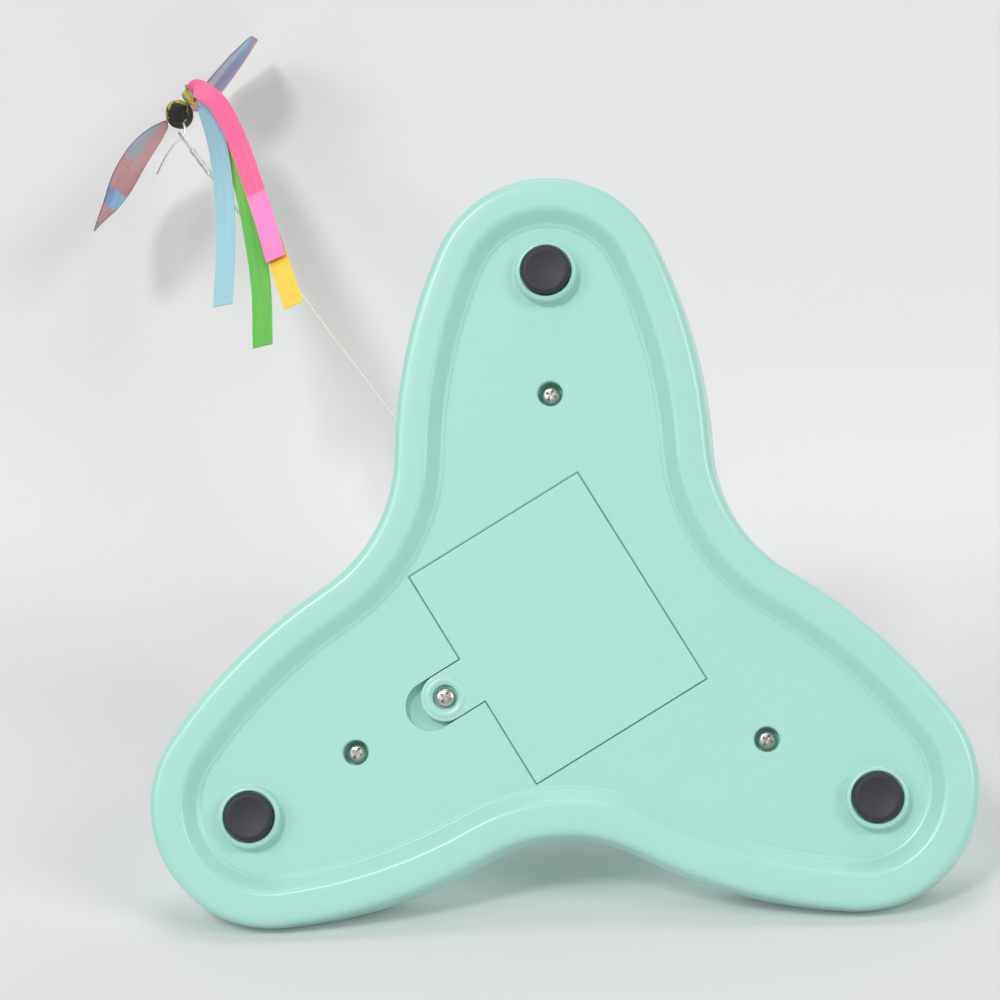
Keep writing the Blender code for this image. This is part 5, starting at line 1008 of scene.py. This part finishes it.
def make_cover():
    """The door with its screw tab, two hooks and a ring pressed up round the screw."""
    half = (COVER_WIDTH / 2, COVER_LENGTH / 2)
    outline = [cover_point(-half[0], half[1]), cover_point(-half[0], -half[1]),
               cover_point(half[0], -half[1]), *tab_outline(TAB_WIDTH / 2, TAB_REACH, half[0]),
               cover_point(*half)]
    cover = slab("battery_door", outline, 0.0, COVER_THICKNESS)
    apply_modifier(cover, "BEVEL", width=0.00024, segments=3, limit_method="ANGLE")
    add_on(cover, slab("tool", tab_outline(TAB_WIDTH / 2 - 0.0001, TAB_REACH, half[0] - 0.001),
                       0.0012, TAB_THICKNESS))
    ring = [(0.0050, 0.0008), (0.0050, 0.0), (0.0047, -0.00022), (0.0043, -0.00030),
            (0.0039, -0.00030), (0.0036, -0.00022), (0.0034, 0.0), (0.0034, 0.0008)]
    add_on(cover, turned("tool", ring, TAB_CENTRE, closed=True))
    carve(cover, well(COUNTERBORE_RADIUS, 0.0, 0.0017, TAB_CENTRE, 0.0003))
    carve(cover, post(SHANK_RADIUS + FIT_GAP, 0.001, 0.004, TAB_CENTRE))
    root = -BAY_WIDTH / 2 + FIT_GAP
    tip = -half[0] - 0.0025
    low = COVER_THICKNESS + 2 * FIT_GAP
    top = low + HOOK_THICKNESS
    hook = [(root, 0.0014), (root + 0.0016, 0.0014), (root + 0.0016, top), (tip, top), (tip, low),
            (root, low)]
    for side in (-1, 1):
        near = side * HOOK_PLACE - HOOK_WIDTH / 2
        add_on(cover, loft("tool", [[Vector((*cover_point(along, across), height))
                                     for along, height in hook]
                                    for across in (near, near + HOOK_WIDTH)]))
    smooth(cover, 30, weighted=True)
    put(cover, mint, "battery_cover", "mint_plastic", "battery_cover")


def make_cells():
    """Plain jacketed cells with bare steel ends, the middle one the other way round."""
    height = (COVER_THICKNESS + FIT_GAP + BAY_HEIGHT) / 2
    reach = BAY_LENGTH / 2 - 0.0009 - FIT_GAP
    shoulder = CELL_LENGTH - 0.0010
    profile = [(0.0030, 0.0002), (0.0048, 0.0), (0.0060, 0.0), (0.0062, 0.0003), (0.0066, 0.0003),
               (CELL_RADIUS, 0.0007), (CELL_RADIUS, shoulder - 0.0007),
               (0.0066, shoulder - 0.0003), (0.0060, shoulder - 0.0003), (0.0058, shoulder),
               (0.0029, shoulder), (0.00275, shoulder + 0.0003),
               (0.00275, CELL_LENGTH - 0.0002), (0.0024, CELL_LENGTH)]
    bare_radius, bare_depth = 0.0061, 0.0004
    for number, (across, way) in enumerate(((-1, -1), (0, 1), (1, -1)), start=1):
        start = cover_point(across * CELL_PITCH, way * (reach - CELL_LENGTH))
        heading = cover_point(0.0, way)
        place = stand((start.x, start.y, height), Vector((heading.x, heading.y, 0.0)))
        cell = turned(f"cell_{number}_jacketed", profile, sides=48, place=place)
        cell.data.materials.append(cell_jacket)
        cell.data.materials.append(nickel)
        back = place.inverted()
        for face in cell.data.polygons:
            spot = back @ face.center
            at_end = spot.z < bare_depth or spot.z > shoulder - bare_depth
            face.material_index = 1 if spot.xy.length < bare_radius and at_end else 0
        smooth(cell, 35)
        put(cell, cell_jacket, "base", "cell_jacket", f"aa_cell_{number}")


# Cap, bush and wire

def wire_point(reach, side, height):
    out = polar(reach, WIRE_AZIMUTH)
    across = polar(side, WIRE_AZIMUTH + math.pi / 2)
    return Vector((out.x + across.x, out.y + across.y, height))


def make_cap():
    """The domed cap with a soft skirt edge, its screw seat and the wire's slanting socket."""
    skirt_top = CAP_LOW + CAP_SKIRT
    profile = [(0.0030, CAP_TOP), (CAP_TOP_RADIUS, CAP_TOP)]
    profile += [(CAP_TOP_RADIUS + (CAP_RADIUS - CAP_TOP_RADIUS) * sine,
                 skirt_top + (CAP_TOP - skirt_top) * cosine)
                for sine, cosine in quarter(16, first=1)]
    profile += [(CAP_RADIUS - SOFT_EDGE * (1 - cosine), CAP_LOW + SOFT_EDGE * (1 - sine))
                for sine, cosine in quarter(4)]
    profile += [(0.0145, CAP_LOW), (0.0030, CAP_LOW)]
    cap = turned("rotor_cap_dome", profile, sides=96)
    carve(cap, post(0.0023, CAP_LOW - PAST, CAP_TOP - 0.0045, sides=32))
    carve(cap, post(0.0013, CAP_LOW, CAP_TOP + PAST))
    carve(cap, turned("tool", [(0.0029, CAP_TOP - 0.0020), (0.0029, CAP_TOP - 0.0003),
                               (0.0032, CAP_TOP + PAST)], sides=48))
    way = Vector((math.cos(WIRE_ROOT_SLOPE), math.sin(WIRE_ROOT_SLOPE)))
    ends = [SOCKET_MOUTH + way * distance for distance in (-SOCKET_DEPTH, SOCKET_DEPTH)]
    start, end = (wire_point(point.x, 0.0, point.y) for point in ends)
    carve(cap, post(0.0007, 0.0, (end - start).length, place=stand(start, end - start)))
    smooth(cap, 30, weighted=True)
    put(cap, mint, "rotor", "mint_plastic", "rotor_cap")


def make_bush():
    low = DOME_TOP + FIT_GAP
    foot = DOME_TOP - 0.0026
    bore, sleeve = 0.0023, TOP_HOLE_RADIUS - FIT_GAP
    profile = [(bore, low + 0.0008), (0.0067, low + 0.0008), (0.0070, low + 0.0005),
               (0.0070, low), (sleeve, low), (sleeve, foot), (bore, foot)]
    bush = turned("top_bush_flanged", profile, sides=72, closed=True)
    smooth(bush, 30)
    put(bush, nylon, "base", "natural_nylon", "top_bush")


def wire_route():
    """Reach and height from the socket to the end of the loop, and where the loop begins."""
    root_way = polar(1.0, WIRE_ROOT_SLOPE)
    tip_way = polar(1.0, WIRE_TIP_SLOPE)
    root = SOCKET_MOUTH - (SOCKET_DEPTH - FIT_GAP) * root_way
    start = SOCKET_MOUTH + (SOCKET_DEPTH + 0.0030) * root_way
    centre = Vector((PIVOT_REACH,
                     PIVOT_HEIGHT + LOOP_RADIUS - WIRE_RADIUS - HOOK_WIRE_RADIUS - FIT_GAP))
    first_angle = WIRE_TIP_SLOPE - math.pi / 2
    tip = centre + polar(LOOP_RADIUS, first_angle)
    end = tip - 0.0240 * tip_way
    span = (end - start).length
    first, second = start + 0.21 * span * root_way, end - 0.47 * span * tip_way
    points = [root]
    curve_steps, loop_steps, loop_sweep = 60, 36, math.radians(290)
    for k in range(curve_steps + 1):
        t = k / curve_steps
        u = 1 - t
        points.append(u ** 3 * start + 3 * u * u * t * first + 3 * u * t * t * second
                      + t ** 3 * end)
    for k in range(loop_steps + 1):
        points.append(centre + polar(LOOP_RADIUS, first_angle + loop_sweep * k / loop_steps))
    return points, tip


def make_wire():
    """The drawn wire with its loop, and the sleeve crimped over it in two places."""
    points, tip = wire_route()
    wire = tube("spring_wire_drawn", [wire_point(reach, 0.0, height) for reach, height in points],
                WIRE_RADIUS)
    put(wire, drawn_wire, "rotor", "spring_wire_steel", "spring_wire")
    back = -polar(1.0, WIRE_TIP_SLOPE)
    near = tip + 0.0090 * back
    far = near + 0.0138 * back
    start, end = (wire_point(point.x, 0.0, point.y) for point in (far, near))
    length = (end - start).length
    place = stand(start, end - start)
    sides, count = 32, 34
    rings = [[place @ point for point in ring_at(SLEEVE_BORE, 0.0, sides)]]
    for k in range(count + 1):
        share = k / count
        pressed = sum(math.exp(-((share - middle) / 0.07) ** 2) for middle in (0.28, 0.72))
        rounding = 0.00015 if k in (0, count) else 0.0
        rings.append([place @ Vector((point.x * (1 - 0.30 * pressed),
                                      point.y * (1 + 0.12 * pressed), point.z))
                      for point in ring_at(SLEEVE_RADIUS - rounding, share * length, sides)])
    rings.append([place @ point for point in ring_at(SLEEVE_BORE, length, sides)])
    sleeve = loft("crimped_sleeve", rings, closed=True)
    smooth(sleeve, 45)
    put(sleeve, pressed_tin, "rotor", "spring_wire_steel", "crimp_sleeve")


# Butterfly

SWING = (Matrix.Translation(wire_point(PIVOT_REACH, 0.0, PIVOT_HEIGHT))
         @ Matrix.Rotation(WIRE_AZIMUTH, 4, "Z"))


def make_body():
    """A ball of foam in three swellings, longer than it is thick, on its hook."""
    body = start_from(bpy.ops.mesh.primitive_uv_sphere_add, "foam_body", segments=48,
                      ring_count=40, radius=BODY_RADIUS)
    with editing(body) as shape:
        bpy.ops.mesh.select_all(action="SELECT")
        bpy.ops.transform.resize(value=(1.0, 1.0, BODY_HALF_LENGTH / BODY_RADIUS))
        for vert in shape.verts:
            level = vert.co.z / BODY_HALF_LENGTH
            waist = 1
            for depth, height in ((0.16, 0.42), (0.12, -0.25)):
                waist -= depth * math.exp(-((level - height) / 0.10) ** 2)
            fuzz = 0.00012 * noise.noise(vert.co * 900)
            flat = Vector((vert.co.x, vert.co.y, 0.0))
            vert.co.x, vert.co.y = (vert.co.xy * waist + flat.xy.normalized() * fuzz)
            vert.co += BODY_PLACE
    body.data.transform(SWING)
    smooth(body, 60)
    put(body, foam_black(), "butterfly", "butterfly_body_black", "butterfly_body")
    hook = tube("wire_hook", [SWING @ point for point in through(HOOK_ROUTE, 64)],
                HOOK_WIRE_RADIUS)
    put(hook, drawn_wire, "butterfly", "spring_wire_steel", "butterfly_hook")


def wing_place(tip, chord_way, shift):
    """A wing's own axes, from its root just inside the body's skin, and its length."""
    span = Vector(tip).normalized()
    chord = Vector(chord_way)
    chord = (chord - chord.dot(span) * span).normalized()
    axes = Matrix((span, chord, span.cross(chord))).transposed().to_4x4()
    across = math.hypot(span.x, span.y) / BODY_RADIUS
    reach = 1 / math.hypot(across, span.z / BODY_HALF_LENGTH) + 0.0010
    reach -= 0.0012     # the root's depth in the foam
    place = Matrix.Translation(BODY_PLACE + Vector(shift) + span * reach) @ axes
    return place, Vector(tip).length - reach


def make_wing(side, tip, chord_way, shift, material, bend, share, sweep):
    """Thin printed film, crowned along its length, with a soft edge."""
    place, length = wing_place(tip, chord_way, shift)
    length *= share
    edge = through([(x, y, 0.0) for x, y in (*WING_EDGE, WING_EDGE[0])], 96)[:-1]
    middle = Vector((0.40, 0.0, 0.0))
    count, shrink = 18, 0.96
    rings = []
    for k in range(count + 1):
        ring = []
        for point in edge:
            spot = middle.lerp(point, 1 - shrink * k / count)
            along = min(max(spot.x, 0.0), 1.0)
            crown = bend * (1 - (0.8 * spot.y) ** 2) * math.sin(math.pi * along * 0.9)
            ripple = 0.0003 * math.sin(9 * spot.y + 5 * spot.x)
            ring.append(Vector(((spot.x + sweep * spot.y) * length, spot.y * WING_CHORD,
                                crown + ripple)))
        rings.append(ring)
    wing = loft(f"film_wing_{side}", rings, capped=False)
    with editing(wing) as shape:
        bpy.ops.mesh.select_all(action="DESELECT")
        for vert in shape.verts:
            spot = Vector((vert.co.x / length, vert.co.y / WING_CHORD))
            inner = (spot - middle.xy).length < 0.03
            vert.select = inner and any(line.is_boundary for line in vert.link_edges)
        shape.select_flush_mode()
        bpy.ops.mesh.edge_face_add()
    margin = wing.data.attributes.new("margin", "FLOAT", "POINT")
    for k, value in enumerate(margin.data):
        value.value = 1 - shrink * min(k // len(edge), count) / count
    coordinates = wing.data.uv_layers.new(name="print")
    for loop in wing.data.loops:
        spot = wing.data.vertices[loop.vertex_index].co
        coordinates.data[loop.index].uv = (spot.x / length, spot.y / WING_CHORD + 0.5)
    apply_modifier(wing, "SOLIDIFY", thickness=0.0003, offset=0.0)
    wing.data.transform(SWING @ place)
    smooth(wing, 50)
    put(wing, material, "butterfly", "wing_film", f"wing_{side}")


def make_wings():
    make_wing("left", (-0.0182, -0.0408, -0.0068), (0.057, 0.010, 0.990), (0.0014, -0.0010, 0.0),
              wing_print("printed film left", 0.0, (0.775, 0.905), 0.50,
                         ((0.13, 0.19, 0.50), (0.12, 0.20, 0.52), (0.13, 0.42, 0.74),
                          (0.18, 0.52, 0.78))),
              -0.0022, 1.0, 0.0)
    make_wing("right", (0.0116, 0.0346, 0.0230), (0.120, 0.010, 0.990), (0.0, 0.0, 0.0),
              wing_print("printed film right", 0.6, (0.50, 1.20), 0.10,
                         ((0.22, 0.48, 0.66), (0.16, 0.22, 0.50), (0.26, 0.22, 0.46),
                          (0.52, 0.24, 0.34))),
              -0.0016, 0.95, 0.22)


def make_knot():
    """Turns of cord round the gathered ribbons, with two short ends."""
    greens, oranges = [], []
    for k, (shift, lean, radius) in enumerate(
            ((-0.0008, 0.10, 0.0017), (0.0001, -0.12, 0.0019), (0.0009, 0.06, 0.0017))):
        turn = start_from(bpy.ops.mesh.primitive_torus_add, "turn", major_segments=48,
                          minor_segments=16, major_radius=radius, minor_radius=0.00064)
        turn.data.transform(Matrix.Rotation(math.pi / 2 + lean, 4, "X"))
        turn.data.transform(Matrix.Scale(0.9, 4, Vector((0.0, 0.0, 1.0))))
        turn.data.transform(Matrix.Translation(KNOT_PLACE + Vector((0.0, shift, 0.0))))
        (oranges if k % 2 else greens).append(turn)
    green_end = ((0.0014, 0.0006, -0.0012), (0.0024, 0.0012, -0.0020), (0.0032, 0.0016, -0.0022))
    orange_end = ((-0.0016, 0.0002, -0.0010), (-0.0030, -0.0002, -0.0022),
                  (-0.0040, 0.0006, -0.0032))
    # Each cord: its colour, and a paler copy of it painted on the raised strands as light
    for hue, pieces, route, colour, pale, nodes in (
            ("green", greens, green_end, (0.10, 0.30, 0.05), (0.30, 0.60, 0.16), ["ribbon_knot"]),
            ("orange", oranges, orange_end, (0.60, 0.22, 0.03), (0.90, 0.48, 0.12), [])):
        pieces.append(tube("end", [KNOT_PLACE + point for point in through(route, 16)], 0.00045, 3))
        turns = gather(f"knot_turns_{hue}", pieces)
        turns.data.transform(SWING)
        smooth(turns, 60)
        put(turns, wound_cord(f"{hue} wound cord", colour, pale), "butterfly", "knot_cord", *nodes)


def droop(distance):
    stiff = 0.0120
    return 0.95 * (math.hypot(distance, stiff) - stiff)


def make_ribbon(hue):
    """A satin ribbon that leaves the knot gathered, opens out and hangs in one long curve."""
    length, colour, pale, turn, shades, level, rise, shares = RIBBONS[hue]
    start = KNOT_PLACE + Vector((0.0, KNOT_WIDTH / 2 + 0.0015, level))
    tied = KNOT_PLACE + Vector((0.0, 0.0004, level * 0.3))
    root = start + Vector((-0.0014 + rise, 0.0014 - rise * 0.4, 0.0))
    route = [tied, root] + [start + RIBBON_REACH * Vector((*share, 0.0)) for share in shares]
    steps, across_count = 84, 8
    points = through(route, steps)
    rings, centre = [], []
    for k, point in enumerate(points):
        along = (points[min(k + 1, steps)] - points[max(k - 1, 0)]).normalized()
        side = Vector((-along.y, along.x, 0.0)).normalized()
        share = k / steps
        opening = min(max((share - 0.04) / 0.16, 0.0), 1.0)
        width_share = 0.3 + 0.7 * opening * opening * (3 - 2 * opening)
        row = []
        for n in range(across_count + 1):
            across = (n / across_count * 2 - 1) * width_share * RIBBON_WIDTH / 2
            corner = point + across * side
            corner.z -= droop(start.x - corner.x)
            fold = (1 - width_share) * 0.0004 * math.cos(across / RIBBON_WIDTH * math.tau * 2)
            corner.z += fold - 0.0002 * share * (1 - (2 * across / RIBBON_WIDTH) ** 2)
            row.append(SWING @ corner)
        rings.append(row)
        middle = point.copy()
        middle.z -= droop(start.x - middle.x)
        centre.append(SWING @ middle)
    ribbon = start_from(bpy.ops.mesh.primitive_grid_add, f"satin_ribbon_{hue}",
                        x_subdivisions=across_count, y_subdivisions=steps, size=RIBBON_WIDTH,
                        calc_uvs=True)
    with editing(ribbon) as shape:
        for vert in shape.verts:
            n = round((vert.co.x / RIBBON_WIDTH + 0.5) * across_count)
            k = round((vert.co.y / RIBBON_WIDTH + 0.5) * steps)
            vert.co = rings[k][n]
    apply_modifier(ribbon, "SOLIDIFY", thickness=0.00028, offset=0.0)
    smooth(ribbon, 60)
    # The satin's colour carries painted sheen and a painted change of light along the ribbon
    look = satin_ribbon(f"ribbon {hue} satin", colour, pale, length, turn, shades)
    put(ribbon, look, "butterfly", f"ribbon_{hue}_satin", f"ribbon_{hue}")


# Finishes for the frame's own nodes

def finish_nodes():
    for look, names in (
            (switch_black, "switch_body"),
            (board_green, "switch_board"),
            (black_lead, "lead_black"),
            (red_lead, "lead_red_battery lead_red_motor"),
            (can_steel, "motor_can"),
            (nylon, "motor_pinion compound_gear_1 compound_gear_2 output_gear"),
            (box_grey, "gearbox_base gearbox_cover"),
            (drawn_wire, "output_spindle motor_shaft gear_pin_1 gear_pin_2"),
            (nickel, "terminal_plate_positive terminal_plate_negative bridge_plate_a "
                     "bridge_plate_b contact_spring_1 contact_spring_2 contact_spring_3"),
            (screw_zinc, "gearbox_screw_1 gearbox_screw_2 gearbox_screw_3 board_screw_1 "
                         "board_screw_2")):
        for name in names.split():
            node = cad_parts[name]
            for slot in node.material_slots:
                slot.material = look
            if not node.material_slots:
                node.data.materials.append(look)


# Stage, light and camera

def one_sided(name, tone, glow):
    """A plain pale surface, partly lit from within, that is seen only from its front."""
    material, tree, shader = start_material(name)
    tree.nodes.remove(shader)
    front = add_node(tree, "BsdfDiffuse", {"Color": (tone, tone, tone, 1.0)}).outputs[0]
    lit = add_node(tree, "Emission", {"Color": (1.0, 1.0, 1.0, 1.0), "Strength": glow}).outputs[0]
    both = add_node(tree, "AddShader", {0: front, 1: lit}).outputs[0]
    clear = add_node(tree, "BsdfTransparent").outputs[0]
    back = add_node(tree, "NewGeometry").outputs["Backfacing"]
    mixed = add_node(tree, "MixShader", {0: back, 1: both, 2: clear}).outputs[0]
    tree.links.new(mixed, tree.nodes["Material Output"].inputs["Surface"])
    return material


def make_sweep():
    """The pale sweep that the toy leans back on."""
    slope, radius, depth, steps = math.radians(25), 0.095, 0.274, 24
    front_z, floor_y, far_y, half_width = -1.6, -0.0715, 2.2, 2.2
    corner = Vector((floor_y + math.tan(slope) * depth, depth))
    reach = radius * math.tan((math.pi / 2 - slope) / 2)
    begin = corner - reach * Vector((math.sin(slope), math.cos(slope)))
    centre = begin + radius * Vector((math.cos(slope), -math.sin(slope)))
    profile = [Vector((floor_y + math.tan(slope) * front_z, front_z))]
    for k in range(steps + 1):
        angle = slope + (math.pi / 2 - slope) * k / steps
        profile.append(centre + radius * Vector((-math.cos(angle), math.sin(angle))))
    profile.append(Vector((far_y, depth)))
    size = 2.0
    sweep = start_from(bpy.ops.mesh.primitive_grid_add, "pale_sweep", x_subdivisions=1,
                       y_subdivisions=len(profile) - 1, size=size)
    with editing(sweep) as shape:
        for vert in shape.verts:
            k = round((vert.co.y / size + 0.5) * (len(profile) - 1))
            vert.co = (vert.co.x * half_width, profile[k].x, profile[k].y)
        face_outwards()
    if sweep.data.polygons[0].normal.y < 0:
        sweep.data.flip_normals()
    smooth(sweep, 60)
    sweep.data.materials.append(one_sided("pale sweep paper", 0.72, 0.05))
    sweep.visible_shadow = False


def make_floor():
    """A floor under the feet, seen only from above."""
    floor = start_from(bpy.ops.mesh.primitive_plane_add, "pale_floor", size=6.0,
                       location=(0.0, 0.0, FLOOR_LEVEL))
    bpy.ops.object.transform_apply(location=True, rotation=True, scale=True)
    floor.data.materials.append(one_sided("pale floor paper", 0.50, 0.30))
    floor.visible_shadow = False
    floor.visible_diffuse = False
    floor.visible_glossy = False


def make_lights():
    """An even pale room, and broad lights by their direction, strength and spread."""
    world = bpy.data.worlds.new("pale room")
    world.use_nodes = True
    back = world.node_tree.nodes["Background"]
    back.inputs["Color"].default_value = (1.0, 1.0, 1.0, 1.0)
    back.inputs["Strength"].default_value = 0.31
    bpy.context.scene.world = world
    for name, place, strength, spread in (
            ("front softbox", (0.28, 0.36, -1.0), 0.86, 10),
            ("left window", (0.95, 0.38, -1.0), 0.60, 24),
            ("right window", (-0.85, 0.35, -1.0), 0.78, 24),
            ("overhead softbox", (0.0, 1.0, -0.25), 0.50, 30),
            ("ceiling", (0.0, 0.2, 1.0), 1.2, 60)):
        light = bpy.data.lights.new(name, "SUN")
        light.energy = strength
        light.angle = math.radians(spread)
        lamp = bpy.data.objects.new(name, light)
        lamp.rotation_euler = (-Vector(place)).to_track_quat("-Z", "Y").to_euler()
        bpy.context.collection.objects.link(lamp)
    view = bpy.context.scene.view_settings
    view.view_transform = "Standard"
    view.look = "None"


def make_camera():
    """The photograph's viewpoint: just under the base, a little to one side."""
    pitch, yaw, roll = math.radians(5.5), math.radians(3.0), math.radians(1.7)
    distance, aim_right, aim_up = 0.919, -0.01476, 0.03296
    sp, cp, sy, cy = math.sin(pitch), math.cos(pitch), math.sin(yaw), math.cos(yaw)
    forward = Vector((sy * cp, sp, cy * cp))
    level = Vector((-cy, 0.0, sy))
    rise = -Vector((-sy * sp, cp, -cy * sp))
    right = level * math.cos(roll) + rise * math.sin(roll)
    up = level * math.sin(roll) - rise * math.cos(roll)
    axis = (forward + aim_right * right + aim_up * up).normalized()
    right = (right - right.dot(axis) * axis).normalized()
    up = right.cross(axis)
    lens = bpy.data.cameras.new("photo camera")
    lens.lens = 139.3
    lens.sensor_width = 36.0
    lens.clip_start = 0.05
    lens.clip_end = 20.0
    camera = bpy.data.objects.new("photo camera", lens)
    camera.matrix_world = (Matrix.Translation(-distance * forward)
                           @ Matrix((right, up, -axis)).transposed().to_4x4())
    bpy.context.collection.objects.link(camera)
    bpy.context.scene.camera = camera


make_camera()
for hue in RIBBONS:
    make_ribbon(hue)
make_tray()
make_knob(make_shell())
make_feet()
make_screws()
make_cover()
make_cells()
make_cap()
make_bush()
make_wire()
make_body()
make_wings()
make_knot()
finish_nodes()
make_sweep()
make_floor()
make_lights()
